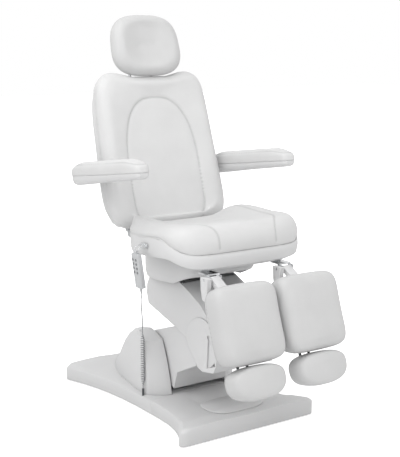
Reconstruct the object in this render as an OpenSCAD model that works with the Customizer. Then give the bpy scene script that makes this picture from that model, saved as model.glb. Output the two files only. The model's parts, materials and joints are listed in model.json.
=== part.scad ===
// Podiatry chair on a motor lift, with a reclining back and two separate leg rests.
// The chair faces -Y, +Z is up, and the origin lies on the floor under the middle of the base.

/* [Base] */
// Width of the base at its ends
base_w = 620; // [480:5:800]
// Length of the base
base_l = 905; // [800:5:1100]
// Width of the base at its waist
base_waist_w = 444; // [430:2:470]
// Place of the waist along the base
base_waist_y = -150; // [-180:5:-120]
// Height of the base's side wall
base_edge_h = 57; // [50:1:70]
// Height of the deck along the middle of the base
deck_h = 66; // [62:1:80]
// Rise of the two end pads over the deck's edge
end_pad_rise = 8; // [0:1:12]
// Radius of the base's corners in plan
base_corner_r = 34; // [20:1:50]
// Wall of the moulded covers
cover_t = 4; // [3:0.5:5]
// Place of the seam between the front and the rear base cover
base_seam_y = -110; // [-125:1:-100]
// Top of the floor frame over the floor
floor_tube_h = 32; // [24:1:36]

/* [Pivot humps] */
// Height of the pivot humps over the deck
hump_h = 230; // [200:5:245]
// Reach of a hump behind the pivot
hump_l = 365; // [320:5:380]
// Distance from the middle to a hump's inner side
hump_in_x = 126; // [125:0.5:130]
// Distance from the middle to a hump's outer side
hump_out_x = 203; // [190:1:215]

/* [Lift arms] */
// Distance between the pivots of an arm
arm_len = 327; // [320:1:340]
// Slope of the arms at this height of the chair
arm_slope = 25.5; // [22:0.5:30]
// Place of the lower pivot along the base
pivot_y = -30; // [-40:1:-20]
// Height of the lower pivot over the floor
pivot_z = 180; // [175:1:190]
// Diameter of the three main shafts
shaft_d = 26; // [20:1:30]
// Running clearance of shafts and pins, on the radius
run_gap = 0.05; // [0.01:0.01:0.1]
// Thickness of the arms' steel bars
bar_t = 8; // [6:0.5:10]
// Height of the arms' steel bars
bar_h = 50; // [40:1:52]
// Half width of the lower arm's cover
lower_half_w = 120; // [116:0.5:121]
// Half width of the upper arm's cover
upper_half_w = 129; // [127:0.5:131]
// Distance from a main pivot to its tie rod's pivot
tie_drop = 55; // [50:1:58]
// Diameter of the tie rods
tie_d = 16; // [12:1:18]

/* [Seat] */
// Width of the seat
seat_w = 590; // [560:5:640]
// Length of the seat
seat_l = 470; // [440:5:500]
// Thickness of the seat cushion
seat_pad_h = 106; // [90:1:120]
// Depth of the seat shell
seat_shell_h = 57; // [50:1:64]
// Tilt of the seat at rest
seat_tilt = 5; // [0:0.5:10]
// Height of the seat's seam plane over the floor at the tilt pivot
seat_z = 632; // [626:1:640]

/* [Back] */
// Width of the back at the hips
back_w = 546; // [500:2:580]
// Height of the back along its face
back_h = 624; // [560:2:660]
// Thickness of the back cushion
back_pad_h = 78; // [60:1:100]
// Depth of the back shell
back_shell_h = 42; // [34:1:60]
// Lean of the back from upright
back_lean = 16.5; // [10:0.5:25]
// Place of the back's lower front edge
back_y = 50; // [45:1:60]
// Height of the back's lower front edge
back_z = 700; // [690:1:710]

/* [Headrest] */
// Width of the head pad
head_w = 306; // [260:2:340]
// Height of the head pad
head_h = 248; // [200:2:280]
// Thickness of the head pad
head_t = 84; // [60:1:100]
// Diameter of the headrest bars
head_bar_d = 12; // [10:0.5:16]

/* [Armrests] */
// Width of an armrest
rest_w = 88; // [70:1:100]
// Length of an armrest
rest_l = 515; // [400:5:530]
// Thickness of an armrest's pad
rest_pad_h = 50; // [30:1:60]
// Depth of an armrest's shell
rest_shell_h = 27; // [24:1:38]
// Distance from the middle to an armrest's centre line
rest_x = 328; // [326:1:345]

/* [Leg rests] */
// Width of a calf pad
calf_w = 262; // [220:2:290]
// Height of a calf pad
calf_h = 274; // [260:2:330]
// Thickness of a calf pad
calf_t = 97; // [70:1:110]
// Distance from the middle to a leg rest's centre line
leg_x = 138; // [130:0.5:160]
// Slope of the leg rests from upright
leg_lean = 19; // [8:0.5:24]
// Width of a foot pad
foot_w = 218; // [180:2:240]
// Height of a foot pad
foot_h = 136; // [110:2:150]
// Thickness of a foot pad
foot_t = 88; // [60:1:110]

/* [Handset] */
// Width of the handset
handset_w = 46; // [40:1:60]
// Length of the handset
handset_l = 128; // [110:1:150]
// Thickness of the handset
handset_t = 22; // [18:1:28]
// Diameter of the handset's lead
lead_d = 4; // [3:0.1:5]
// Outer diameter of the curly part of the lead
curl_d = 17; // [14:0.5:18]
// Curls in the curly part of the lead
curl_count = 24; // [16:1:40]

/* [Hidden] */

// Overrun of every cut past the face it goes through
over = 2;
// Clearance between parts that pass each other
pass_gap = 1;
// Clearance of a soft pad from what it doesn't belong to
soft_gap = 0.3;
// Facets of a round thing that fits or turns
fine = 48;

shell_col = "#d4d6d8";
grey_col = "#b9bdc1";
pad_col = "#ededed";
steel_col = "#8f9498";
dark_col = "#3c4248";
chrome_col = "#c8ccd0";

// Closed skin over a stack of rings, each with its points anticlockwise seen from the last
module skin(rings) {
    n = len(rings[0]);
    m = len(rings);
    first_mid = middle(rings[0]);
    last_mid = middle(rings[m - 1]);
    points = concat([for (ring = rings) each ring], [first_mid, last_mid]);
    walls = [for (i = [0 : m - 2], j = [0 : n - 1])
        each [[i * n + j, (i + 1) * n + (j + 1) % n, i * n + (j + 1) % n],
              [i * n + j, (i + 1) * n + j, (i + 1) * n + (j + 1) % n]]];
    bottom = [for (j = [0 : n - 1]) [m * n, j, (j + 1) % n]];
    top = [for (j = [0 : n - 1]) [m * n + 1, (m - 1) * n + (j + 1) % n, (m - 1) * n + j]];
    polyhedron(points, concat(walls, bottom, top));
}
function total(list, i = 0) = i >= len(list) - 1 ? list[i] : list[i] + total(list, i + 1);
function middle(ring) = total(ring) / len(ring);
function mix(a, b, share) = a + (b - a) * share;
function lift(outline, z) = [for (p = outline) [p.x, p.y, z]];
function smooth(t) = let (s = min(1, max(0, t))) s * s * (3 - 2 * s);

// Outline moved inwards by a distance, for an outline that runs anticlockwise
function unit(v) = v / norm(v);
function inset(outline, d) = let (n = len(outline)) [for (i = [0 : n - 1])
    let (a = outline[(i + n - 1) % n], b = outline[i], c = outline[(i + 1) % n],
         e = unit(b - a), f = unit(c - b),
         en = [-e.y, e.x], fn = [-f.y, f.x])
    b + d * (en + fn) / (1 + en * fn)];

// Arc of points from one angle to another
function arc(centre, r, from, to, steps) = [for (i = [0 : steps])
    let (a = mix(from, to, i / steps)) centre + r * [cos(a), sin(a)]];

// Rounded outline, square-cornered as power grows
function rounded(w, h, power, count) = [for (i = [0 : count - 1])
    let (a = 360 * (i + 0.5) / count, c = cos(a), s = sin(a))
    [w / 2 * sign(c) * pow(abs(c), 2 / power), h / 2 * sign(s) * pow(abs(s), 2 / power)]];

// Side outline given as [forward, up] points, drawn across the chair
module across(half_w) {
    rotate([90, 0, -90]) linear_extrude(2 * half_w, center = true) children();
}
module shaft(d, half_l) {
    rotate([0, 90, 0]) cylinder(d = d, h = 2 * half_l, center = true, $fn = fine);
}
module plates(x, t) {
    for (side = [-1, 1])
        translate([side * x, 0, 0]) across(t / 2) children();
}
// Pivots of the lift
knee_y = pivot_y - arm_len * cos(arm_slope);
knee_z = pivot_z + arm_len * sin(arm_slope);
top_pivot_z = pivot_z + 2 * arm_len * sin(arm_slope);

module at_lower_pivot() { translate([0, pivot_y, pivot_z]) rotate([-arm_slope, 0, 0]) children(); }
module at_upper_pivot() { translate([0, pivot_y, top_pivot_z]) rotate([arm_slope, 0, 0]) children(); }
module at_knee() { translate([0, knee_y, knee_z]) children(); }

// Base
waist_power = 2.8;
full_w_share = 0.4;
function end_half_w(y) = let (side = y < base_waist_y ? -1 : 1,
    u = (y - base_waist_y) / (side * (base_l / 2 - base_corner_r * full_w_share) - base_waist_y))
    base_waist_w / 2 + (base_w - base_waist_w) / 2 * pow(min(1, abs(u)), waist_power);
function corner_loss(y) = let (d = base_corner_r - (base_l / 2 - abs(y)))
    d <= 0 ? 0 : base_corner_r - sqrt(max(0, base_corner_r * base_corner_r - d * d));
function base_half_w(y) = end_half_w(y) - corner_loss(y);
floor_gap = 3;
edge_round = 7;
pad_start_share = 0.74;
pad_end_share = 0.86;
function pad_rise(y) = end_pad_rise
    * smooth((abs(2 * y / base_l) - pad_start_share) / (pad_end_share - pad_start_share));
function deck_z(x, y) = let (s = x / base_half_w(y))
    base_edge_h + pad_rise(y) * smooth(2.2 * abs(s) - 0.3)
    + (deck_h - base_edge_h) * (1 - s * s);
deck_shares = [-0.94, -0.75, -0.5, -0.25, 0, 0.25, 0.5, 0.75, 0.94];
function base_section(y, d) = let (hw = base_half_w(y) - d, lo = floor_gap - (d > 0 ? over + floor_gap : 0))
    concat([[hw, y, lo], [hw, y, base_edge_h - edge_round - d],
            [hw - edge_round * 0.3, y, base_edge_h - edge_round * 0.3 - d]],
        [for (i = [len(deck_shares) - 1 : -1 : 0])
            [deck_shares[i] * hw, y, deck_z(deck_shares[i] * hw, y) - d]],
        [[-hw + edge_round * 0.3, y, base_edge_h - edge_round * 0.3 - d],
         [-hw, y, base_edge_h - edge_round - d], [-hw, y, lo]]);
base_y_shares = [0, 0.18, 0.36, 0.52, 0.64, 0.72, 0.78, 0.84, 0.89];
corner_shares = [0, 0.3, 0.6, 0.82, 0.95, 1];
// Sections from the seam towards one end of the base, at the wall's outside or inside
function base_sections(to, d) = let (from = base_seam_y, stop = (base_l / 2 - base_corner_r) * to)
    [for (s = base_y_shares) base_section(mix(from, stop, s / 0.89), d)];
function corner_sections(to, d) = [for (s = [for (i = [1 : 5]) corner_shares[i]])
    base_section(to * (base_l / 2 - base_corner_r + (base_corner_r - d) * s), d)];
module base_half(to) {
    difference() {
        base_skin(to, 0);
        base_skin(to, cover_t);
    }
}
module base_skin(to, d) {
    raw = concat(base_sections(to, d), corner_sections(to, d));
    if (to < 0) skin(raw);
    else skin([for (i = [len(raw) - 1 : -1 : 0]) raw[i]]);
}
fork_x = hump_in_x + cover_t + pass_gap;
ear_t = 10;
ear_l = 90;
ear_slot_l = ear_l + 6 * pass_gap;
module base_cover_front() {
    color(shell_col) difference() {
        base_half(-1);
        access_hole();
    }
}
module base_cover_rear() {
    color(shell_col) difference() {
        base_half(1);
        translate([-fork_x - ear_t - pass_gap, pivot_y - ear_slot_l / 2, base_edge_h / 2])
            cube([2 * (fork_x + ear_t + pass_gap), ear_slot_l, deck_h]);
        inlet_hole();
        gland_hole();
    }
}

// Floor frame: two long tubes, two cross tubes, a base plate that rests on the floor and the covers' posts
frame_l = base_l - 100;
rail_x = base_waist_w / 2 - 70;
rail_w = 40;
plate_t = 8;
foot_x = base_w / 2 - 68;
foot_y = base_l / 2 - 50;
foot_disc_d = 44;
foot_disc_h = 8;
foot_stem_d = 10;
floor_plate_l = 260;
post_d = 18;
post_ys = [-330, -190, 200, 340];
module base_frame() {
    color(steel_col) difference() {
        translate([0, 0, foot_disc_h]) union() {
            for (side = [-1, 1])
                translate([side * rail_x - rail_w / 2, -frame_l / 2, 0])
                    cube([rail_w, frame_l, floor_tube_h - foot_disc_h]);
            for (end = [-1, 1])
                translate([-foot_x - rail_w / 2, end * foot_y - rail_w / 2, 0])
                    cube([2 * foot_x + rail_w, rail_w, floor_tube_h - foot_disc_h]);
            translate([-rail_x, -floor_plate_l / 2 + pivot_y / 2, -foot_disc_h])
                cube([2 * rail_x, floor_plate_l, foot_disc_h + over]);
            for (side = [-1, 1], y = post_ys) translate([side * rail_x, y, 0])
                cylinder(d = post_d, h = deck_z(rail_x + post_d / 2, y) - cover_t - 2 * soft_gap - foot_disc_h, $fn = fine);
        }
        for (sx = [-1, 1], sy = [-1, 1]) translate([sx * foot_x, sy * foot_y, 0])
            cylinder(d = foot_stem_d + 2 * run_gap, h = floor_tube_h + over, $fn = fine);
    }
}
module levelling_feet() {
    color(dark_col) for (sx = [-1, 1], sy = [-1, 1]) translate([sx * foot_x, sy * foot_y, 0]) {
        cylinder(d = foot_disc_d, h = foot_disc_h, $fn = fine);
        cylinder(d = foot_stem_d, h = floor_tube_h - over, $fn = fine);
    }
}

// Fork: two ears on the floor frame that hold the lower pivot, and the tie rods' anchor
anchor_w = 40;
pin_d = 12;
ear_round_share = 0.36;
module pivot_fork() {
    color(steel_col) union() {
        for (side = [-1, 1]) translate([side * (fork_x + ear_t / 2), 0, 0]) difference() {
            across(ear_t / 2) polygon(concat([[-pivot_y + ear_l / 2, floor_tube_h]],
                arc([-pivot_y, pivot_z], ear_l * ear_round_share, 20, 160, 8),
                [[-pivot_y - ear_l / 2, floor_tube_h]]));
            translate([0, pivot_y, pivot_z]) shaft(shaft_d, ear_t);
        }
        translate([-fork_x - ear_t, pivot_y - ear_l / 2, floor_tube_h])
            cube([2 * (fork_x + ear_t), ear_l, plate_t]);
        across(anchor_w / 2) polygon(concat([[-pivot_y + ear_l / 3, floor_tube_h]],
            arc([-pivot_y, pivot_z - tie_drop], pin_d, 0, 180, 8),
            [[-pivot_y - ear_l / 3, floor_tube_h]]));
        translate([0, pivot_y, pivot_z - tie_drop]) shaft(pin_d, tie_x + tie_eye_w);
    }
}
module lower_pivot_shaft() {
    color(chrome_col) translate([0, pivot_y, pivot_z]) union() {
        shaft(shaft_d, fork_x + ear_t + plate_t);
        for (side = [-1, 1]) translate([side * (fork_x + ear_t + plate_t * 0.75), 0, 0])
            shaft(shaft_d * 1.3, plate_t / 4);
    }
}

// Access plate on the front deck
access_w = 230;
access_l = 150;
access_rise = 5;
access_power = 4;
access_y = -base_l / 2 + 120;
module access_plate() {
    color(shell_col) skin([
        for (s = [[1, 0], [1, 0.6], [0.96, 1]])
            [for (p = rounded(access_w * s[0], access_l * s[0], access_power, 32))
                [p.x, p.y + access_y, deck_z(p.x, p.y + access_y) + 2 * soft_gap + access_rise * s[1]]]]);
}
module access_hole() {
    translate([0, access_y, base_edge_h / 2]) linear_extrude(deck_h)
        polygon(rounded(access_w * 0.8, access_l * 0.8, access_power, 32));
}

// Humps over the fork's ears, one on each side
hump_rear_shares = [[0, 1], [0.08, 0.82], [0.195, 0.66], [0.38, 0.54], [0.571, 0.44],
    [0.74, 0.32], [0.874, 0.2], [0.955, 0.12], [1, 0.07]];
hump_front_shares = [0.225, 0.215, 0.2, 0.168, 0.13, 0.085, 0.045, -0.02, -0.06];
hump_out_shares = [1, 1, 1, 0.995, 0.985, 0.97, 0.95, 0.88, 0.72];
hump_nose_shares = [[0, 0], [0.3, 0.12], [0.56, 0.41], [0.8, 0.68]];
hump_side_shares = [[0, 0], [0.1, -0.02], [0.28, 0.05], [0.54, 0.24], [0.77, 0.48], [0.93, 0.8], [1, 0.97]];
function hump_ring(i, d) = let (
    reach = hump_l - d, wide = hump_out_x - hump_in_x - d,
    yb = hump_rear_shares[i][1] * reach + pivot_y,
    yf = pivot_y - (hump_front_shares[i] * hump_l - d),
    yr = mix(yf, yb, 0.14 + 0.04 * hump_rear_shares[i][0]),
    xi = hump_in_x - (d > 0 ? over : 0), xo = hump_in_x + wide * hump_out_shares[i],
    z = deck_h + hump_rear_shares[i][0] * (hump_h - d),
    flat = concat([for (s = hump_nose_shares) [mix(xi, xo, s[0]), mix(yf, yr, s[1])]],
        [for (s = hump_side_shares) [mix(xo, xi, s[1]), mix(yr, yb, s[0])]],
        [[xi, mix(yb, yf, 0.5)]]))
    [for (p = flat) [p.x, p.y, i == 0 ? deck_z(p.x, p.y) + (d > 0 ? -over : 2 * soft_gap) : z]];
module hump() {
    difference() {
        skin([for (i = [0 : 8]) hump_ring(i, 0)]);
        skin([for (i = [0 : 8]) hump_ring(i, cover_t)]);
    }
}
module hump_cover_left() { color(shell_col) mirror([1, 0, 0]) hump(); }
module hump_cover_right() { color(shell_col) hump(); }

// Hood that joins the humps behind the lower arm
hood_front_y = 140;
hood_bulge = 95;
hood_rings = 3;
hood_count = 8;
function hood_ring(i, d) = let (h = hump_rear_shares[i][0],
    z = deck_h + h * hump_h - d,
    far = pivot_y + hump_rear_shares[i][1] * hump_l,
    bulge = hood_bulge * (1 - i / hood_rings) + cover_t * 2,
    half = hump_in_x - pass_gap - d,
    flat = concat([for (k = [0 : hood_count]) [half * (2 * k / hood_count - 1), hood_front_y + d]],
        [for (k = [0 : hood_count]) let (t = 1 - 2 * k / hood_count)
            [half * t, far + bulge * (1 - t * t) - d]]))
    [for (p = flat) [p.x, p.y, i == 0 ? deck_z(p.x, p.y) + (d > 0 ? -over : 3 * soft_gap) : z]];
module pivot_hood() {
    color(shell_col) difference() {
        skin([for (i = [0 : hood_rings]) hood_ring(i, 0)]);
        skin([for (i = [0 : hood_rings]) hood_ring(i, cover_t)]);
    }
}

// Mains inlet at the back of the base
inlet_w = 48;
inlet_h = 26;
inlet_t = 14;
inlet_x = 90;
module inlet_hole() {
    translate([inlet_x - inlet_w / 2, base_l / 2 - inlet_t, floor_tube_h / 2 - floor_gap])
        cube([inlet_w, inlet_t + over, inlet_h]);
}
module mains_inlet() {
    color(dark_col) difference() {
        translate([inlet_x - inlet_w / 2 + run_gap, base_l / 2 - inlet_t, floor_tube_h / 2 - floor_gap + run_gap])
            cube([inlet_w - 2 * run_gap, inlet_t + 1, inlet_h - 2 * run_gap]);
        translate([inlet_x - inlet_w / 3, base_l / 2 - inlet_t / 2, floor_tube_h / 2 + floor_gap])
            cube([inlet_w * 2 / 3, inlet_t + over, inlet_h - 4 * floor_gap]);
    }
}

// Lower arm
lower_bar_x = 104;
lower_outline = concat(
    [for (s = [[0.72, -0.2], [0.72, 0.291], [0.47, 0.313], [0.08, 0.353], [-0.24, 0.4], [-0.32, 0.39],
        [-0.36, 0.33], [-0.35, 0.2], [-0.33, 0.06], [-0.29, -0.06], [-0.2, -0.19], [-0.06, -0.28],
        [0.09, -0.335], [0.115, -0.37], [0.27, -0.205]]) s * arm_len]);
module lower_arm_cover() {
    outline = lower_outline;
    color(shell_col) at_lower_pivot() difference() {
        across(lower_half_w) polygon(outline);
        across(lower_half_w - cover_t) polygon(inset(outline, cover_t));
        // Open end towards the knee
        across(lower_half_w - cover_t) polygon([for (s = [[0.6, -0.19], [0.8, -0.19], [0.8, 0.5],
            [0.42, 0.5], [0.42, 0.2]]) s * arm_len]);
        // Open underside behind the heel
        across(lower_half_w - cover_t) polygon([for (s = [[-0.5, -0.3], [-0.5, 0.2], [-0.2, 0.2],
            [0.06, -0.2], [0.06, -0.5], [-0.3, -0.5]]) s * arm_len]);
        shaft(shaft_d + 4 * pass_gap, lower_half_w + over);
    }
}
module arm_bar(x) {
    plates(x, bar_t) difference() {
        union() {
            translate([0, -bar_h / 2]) square([arm_len, bar_h]);
            circle(d = bar_h * 1.3, $fn = fine);
            translate([arm_len, 0]) circle(d = bar_h * 1.2, $fn = fine);
        }
        circle(d = shaft_d + 2 * run_gap, $fn = fine);
        translate([arm_len, 0]) circle(d = shaft_d + 2 * run_gap, $fn = fine);
    }
}
cross_d = 30;
module lower_arm_frame() {
    color(steel_col) at_lower_pivot() union() {
        arm_bar(lower_bar_x);
        for (s = [[0.3, lower_half_w - cover_t - run_gap], [0.62, lower_bar_x]])
            translate([0, -arm_len * s[0], cross_d / 4]) shaft(cross_d, s[1]);
    }
}

// Tie rods that keep the knee and the seat carrier level
tie_x = 52;
tie_eye_w = 7;
module tie_pair(length) {
    for (side = [-1, 1]) translate([side * tie_x, 0, 0]) difference() {
        union() {
            shaft(tie_d * 1.7, tie_eye_w);
            translate([0, -length, 0]) shaft(tie_d * 1.7, tie_eye_w);
            rotate([90, 0, 0]) cylinder(d = tie_d * 0.8, h = length, $fn = fine);
        }
        shaft(pin_d + 2 * run_gap, tie_eye_w + over);
        translate([0, -length, 0]) shaft(pin_d + 2 * run_gap, tie_eye_w + over);
    }
}
module lower_tie_rods() {
    color(steel_col) translate([0, 0, -tie_drop]) at_lower_pivot() tie_pair(arm_len);
}
module upper_tie_rods() {
    color(steel_col) translate([0, 0, tie_drop]) at_upper_pivot() tie_pair(arm_len);
}

// Knee: two level plates on the knee shaft, with the tie rods' pins
knee_plate_x = 111;
knee_plate_t = 6;
knee_cover_x = upper_half_w + pass_gap;
module knee_link() {
    color(steel_col) at_knee() union() {
        plates(knee_plate_x + knee_plate_t / 2 - 1, knee_plate_t - 1) union() {
            circle(d = shaft_d * 1.8, $fn = fine);
            translate([-pin_d, -tie_drop]) square([2 * pin_d, 2 * tie_drop]);
            for (up = [-1, 1]) translate([0, up * tie_drop]) circle(d = 2 * pin_d, $fn = fine);
        }
        shaft(shaft_d, knee_cover_x);
        for (up = [-1, 1]) translate([0, 0, up * tie_drop]) shaft(pin_d, knee_plate_x);
    }
}
knee_r = 98;
knee_t = 5;
knee_hole_d = 18;
knee_front_shares = [[0.78, -0.92], [0.97, -0.6]];
knee_side_shares = concat([[-0.84, -0.38], [-0.2, -0.98], [0.1, -1.04]], knee_front_shares);
function knee_outline() = concat(arc([0, 0], knee_r, -8, 180, 18),
    [for (s = knee_side_shares) s * knee_r]);
module knee_cover() {
    color(shell_col) at_knee() difference() {
        union() {
            plates(knee_cover_x + knee_t / 2, knee_t) polygon(knee_outline());
            // Front strip that joins the two sides
            across(knee_cover_x + knee_t / 2) polygon(concat(
                [for (s = knee_front_shares) s * knee_r], arc([0, 0], knee_r, -8, 34, 6),
                arc([0, 0], knee_r - knee_t, 34, -8, 6),
                [for (i = [1, 0]) knee_front_shares[i] * knee_r + [-knee_t, knee_t / 2]]));
        }
        for (side = [-1, 1]) translate([side * (knee_cover_x + knee_t / 2), 0, 0]) across(knee_t)
            union() {
                translate([knee_r * 0.48, knee_r * 0.36]) circle(d = knee_hole_d, $fn = fine);
                polygon([for (s = [[0.44, 0.3], [0.36, -0.84], [0.92, -0.62], [0.54, 0.3]]) s * knee_r]);
            }
    }
}

// Upper arm
upper_bar_x = 88;
upper_outline = concat(
    [for (s = [[-0.14, -0.3], [0.007, -0.271], [0.42, -0.19], [0.74, -0.14]]) s * arm_len],
    arc([arm_len, 0], knee_r * 0.93, -128, 84, 16),
    [for (s = [[0.9, 0.34], [0.8, 0.375], [0.55, 0.375], [0.35, 0.36], [0.1, 0.33], [-0.1, 0.27],
        [-0.2, 0.16], [-0.26, 0.02], [-0.27, -0.1], [-0.235, -0.2]]) s * arm_len]);
module upper_arm_cover() {
    outline = upper_outline;
    color(shell_col) at_upper_pivot() difference() {
        across(upper_half_w) polygon(outline);
        across(upper_half_w - cover_t) polygon(inset(outline, cover_t));
        // Open underside towards the knee
        across(upper_half_w - cover_t) polygon([for (s = [[0.3, -0.5], [1.15, -0.5], [1.15, -0.14],
            [0.9, -0.1], [0.3, 0]]) s * arm_len]);
        // Open top over the seat carrier's ears
        across(upper_half_w - cover_t) polygon([for (s = [[-0.5, -0.02], [0.02, -0.02], [0.1, 0.1], [0.3, 0.3], [0.5, 0.6],
            [-0.5, 0.6]]) s * arm_len]);
        translate([0, -arm_len, 0]) shaft(shaft_d + 2 * pass_gap, upper_half_w + over);
    }
}
module upper_arm_frame() {
    color(steel_col) at_upper_pivot() union() {
        arm_bar(upper_bar_x);
        for (s = [[0.34, upper_half_w - cover_t - run_gap], [0.62, upper_bar_x]])
            translate([0, -arm_len * s[0], -cross_d / 4]) shaft(cross_d, s[1]);
    }
}

// Seat carrier: ears on the upper pivot, a top plate and the tilt pivot's lugs
carrier_ear_x = 99;
carrier_t = 8;
carrier_plate_z = 572;
tilt_y = 30;
tilt_z = 604;
tilt_pin_d = 20;
tilt_lug_x = 130;
carrier_front_y = -260;
carrier_l = 305;
carrier_tab_l = 120;
carrier_w = 2 * (tilt_lug_x + carrier_t);
module carriage_frame() {
    color(steel_col) union() {
        plates(carrier_ear_x + carrier_t / 2, carrier_t) difference() {
            polygon(concat(
                [[-pivot_y - ear_l / 2, carrier_plate_z]],
                arc([-pivot_y, top_pivot_z], shaft_d * 1.1, 200, 340, 8),
                [[-pivot_y + ear_l / 2, carrier_plate_z]]));
            translate([-pivot_y, top_pivot_z]) circle(d = shaft_d, $fn = fine);
        }
        difference() {
            across(anchor_w / 2) polygon(concat(
                [[-pivot_y - ear_l / 3, carrier_plate_z]],
                arc([-pivot_y, top_pivot_z + tie_drop], pin_d, 180, 360, 8),
                [[-pivot_y + ear_l / 3, carrier_plate_z]]));
            translate([0, pivot_y, top_pivot_z + tie_drop]) shaft(pin_d, anchor_w);
        }
        translate([0, pivot_y, top_pivot_z + tie_drop]) shaft(pin_d, tie_x + tie_eye_w);
        translate([-carrier_w / 2, carrier_front_y, carrier_plate_z]) cube([carrier_w, carrier_l, carrier_t]);
        translate([-belly_w / 2 + cover_t + soft_gap, belly_y - carrier_tab_l / 2, carrier_plate_z])
            cube([belly_w - 2 * (cover_t + soft_gap), carrier_tab_l, carrier_t]);
        plates(tilt_lug_x + carrier_t / 2, carrier_t) difference() {
            polygon(concat([[-tilt_y + tilt_pin_d * 1.4, carrier_plate_z]],
                arc([-tilt_y, tilt_z], tilt_pin_d * 0.85, 0, 180, 8),
                [[-tilt_y - tilt_pin_d * 0.8, carrier_plate_z]]));
            translate([-tilt_y, tilt_z]) circle(d = tilt_pin_d + 2 * run_gap, $fn = fine);
        }
    }
}
module upper_pivot_shaft() {
    color(chrome_col) translate([0, pivot_y, top_pivot_z])
        shaft(shaft_d, carrier_ear_x + carrier_t + plate_t);
}

// Belly cover round the seat carrier, open below for the upper arm
belly_w = 330;
belly_l = 370;
belly_y = -112;
belly_power = 5;
belly_rim_h = 114;
belly_rise = 42;
belly_front_rise = 52;
belly_drop = 60;
belly_shares = [[0.9, 0, 0.86], [0.97, 0.1, 0.95], [1, 0.3, 0.99], [1, 1, 1]];
function belly_ring(s, d) = [for (p = rounded(belly_w * s[0] - 2 * d, belly_l * s[2] - 2 * d, belly_power, 36))
    [p.x, p.y + belly_y + belly_l * (1 - s[2]) * 0.2,
     top_pivot_z + belly_rise + belly_rim_h * s[1] + (1 - s[1]) * belly_front_rise * smooth(-p.y * 2.2 / belly_l - 0.1)
     - (d > 0 && s[1] == 0 ? belly_drop : 0) + (d > 0 && s[1] == 1 ? over : 0)]];
module belly_cover() {
    color(shell_col) difference() {
        skin([for (s = belly_shares) belly_ring(s, 0)]);
        skin([for (s = belly_shares) belly_ring(s, cover_t)]);
    }
}

// Seat parts lie along the seat's own tilt
module on_seat() { translate([0, tilt_y, seat_z]) rotate([-seat_tilt, 0, 0]) children(); }
seat_mid_y = -seat_l / 2 + 5;
seat_power = 4.2;
seat_count = 44;
function seat_outline(share) = [for (p = rounded(seat_w * share, seat_l * share, seat_power, seat_count))
    [p.x * (1 - 0.1 * smooth(p.y * 2 / seat_l)), p.y + seat_mid_y]];
wing_h = 64;
pan_h = 36;
pan_share = 0.86;
ledge_share = 0.9;
// How far round the side a point of the outline lies, from 0 at the front to 1
function sideness(p) = smooth(3.2 * (p.y - seat_mid_y) / seat_l + 1.6) * smooth(6 * abs(p.x) / seat_w - 1.4);
seat_rims = [for (p = seat_outline(1)) wing_h * sideness(p)];
under_h = 10;
rear_share = 0.1;
function shell_low(p) = -seat_shell_h * mix(1, rear_share, smooth(4 * (p.y - seat_mid_y) / seat_l + 2));
// Rings of the shell: share of the outline, share of the way down, share of the way up, and its keel
seat_shell_shares = [[0.76, 1, 0, 1], [0.93, 1, 0, 0], [0.985, 0.8, 0, 0], [1, 0.3, 0.2, 0], [1, 0, 1, 0],
    [0.975, 0, 1, 0], [0.955, 0, 0.9, 0], [0.94, 0, 0, 0]];
function shell_ring(s) = let (line = seat_outline(s[0])) [for (i = [0 : seat_count - 1])
    [line[i].x, line[i].y, shell_low(line[i]) * s[1] - under_h * s[3] + seat_rims[i] * s[2]]];
module seat_shell() {
    color(shell_col) on_seat() difference() {
        skin(concat([for (s = seat_shell_shares) shell_ring(s)],
            [lift(seat_outline(ledge_share), 0), lift(seat_outline(pan_share * 0.985), pan_h / 2),
             lift(seat_outline(pan_share * 0.97), pan_h)]));
        seat_cavity();
    }
}
cavity_wall = 22;
cavity_w = 2 * (belly_w / 2 + 26);
cavity_top = pan_h - 8;
module seat_cavity() {
    translate([-cavity_w / 2, seat_mid_y - seat_l / 2 + cavity_wall, cavity_top - 3 * seat_shell_h])
        cube([cavity_w, seat_l, 3 * seat_shell_h]);
}
// Rings of the cushion over its seam: share of the outline, share of the height
seat_pad_shares = [[0.985, 0], [1, 0.22], [0.995, 0.48], [0.96, 0.78], [0.87, 0.95],
    [0.66, 0.955], [0.62, 0.92], [0.58, 0.95], [0.25, 0.95]];
seat_bolster_share = 0.1;
seat_dip_share = 0.2;
seam_gap = 1.3;
seat_in_share = 0.925;
function seat_dip(p, share) = share > 0.8 ? seat_bolster_share * pow(abs(2 * p.x / seat_w), 3)
    * smooth(0.9 - 1.2 * (p.y - seat_mid_y) / seat_l) - seat_dip_share * (1 - pow(abs(2 * p.x / seat_w), 2))
    * smooth(0.75 + 1.6 * (p.y - seat_mid_y) / seat_l) : 0;
function seat_in_ring(up) = let (line = seat_outline(seat_in_share)) [for (i = [0 : seat_count - 1])
    [line[i].x, line[i].y, seam_gap + up * max(soft_gap, seat_rims[i] - seam_gap)]];
function seat_pad_ring(s) = let (line = seat_outline(s[0])) [for (i = [0 : seat_count - 1])
    [line[i].x, line[i].y, mix(seat_rims[i] + 1.5 * seam_gap, seat_pad_h, s[1]) + seat_pad_h * seat_dip(line[i], s[1])]];
module seat_cushion() {
    color(pad_col) on_seat() skin(concat(
        [lift(seat_outline(pan_share * 0.9), pan_h + soft_gap / 3), lift(seat_outline(pan_share), pan_h + soft_gap / 3),
         seat_in_ring(0), seat_in_ring(1)],
        [for (s = seat_pad_shares) seat_pad_ring(s)]));
}
seat_rail_x = 122;
seat_rail_w = 25;
seat_rail_h = 36;
seat_frame_top = cavity_top - soft_gap;
recline_y = 85;
recline_z = 655;
recline_pin_d = 20;
recline_lug_x = 150;
recline_lug_shares = [[1.2, -1.75], [5.25, -1.75], [5.25, -0.4], [4.2, -0.4], [3.6, -1.2], [2.05, -1.2], [1, -0.2]];
lug_t = 8;
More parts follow.
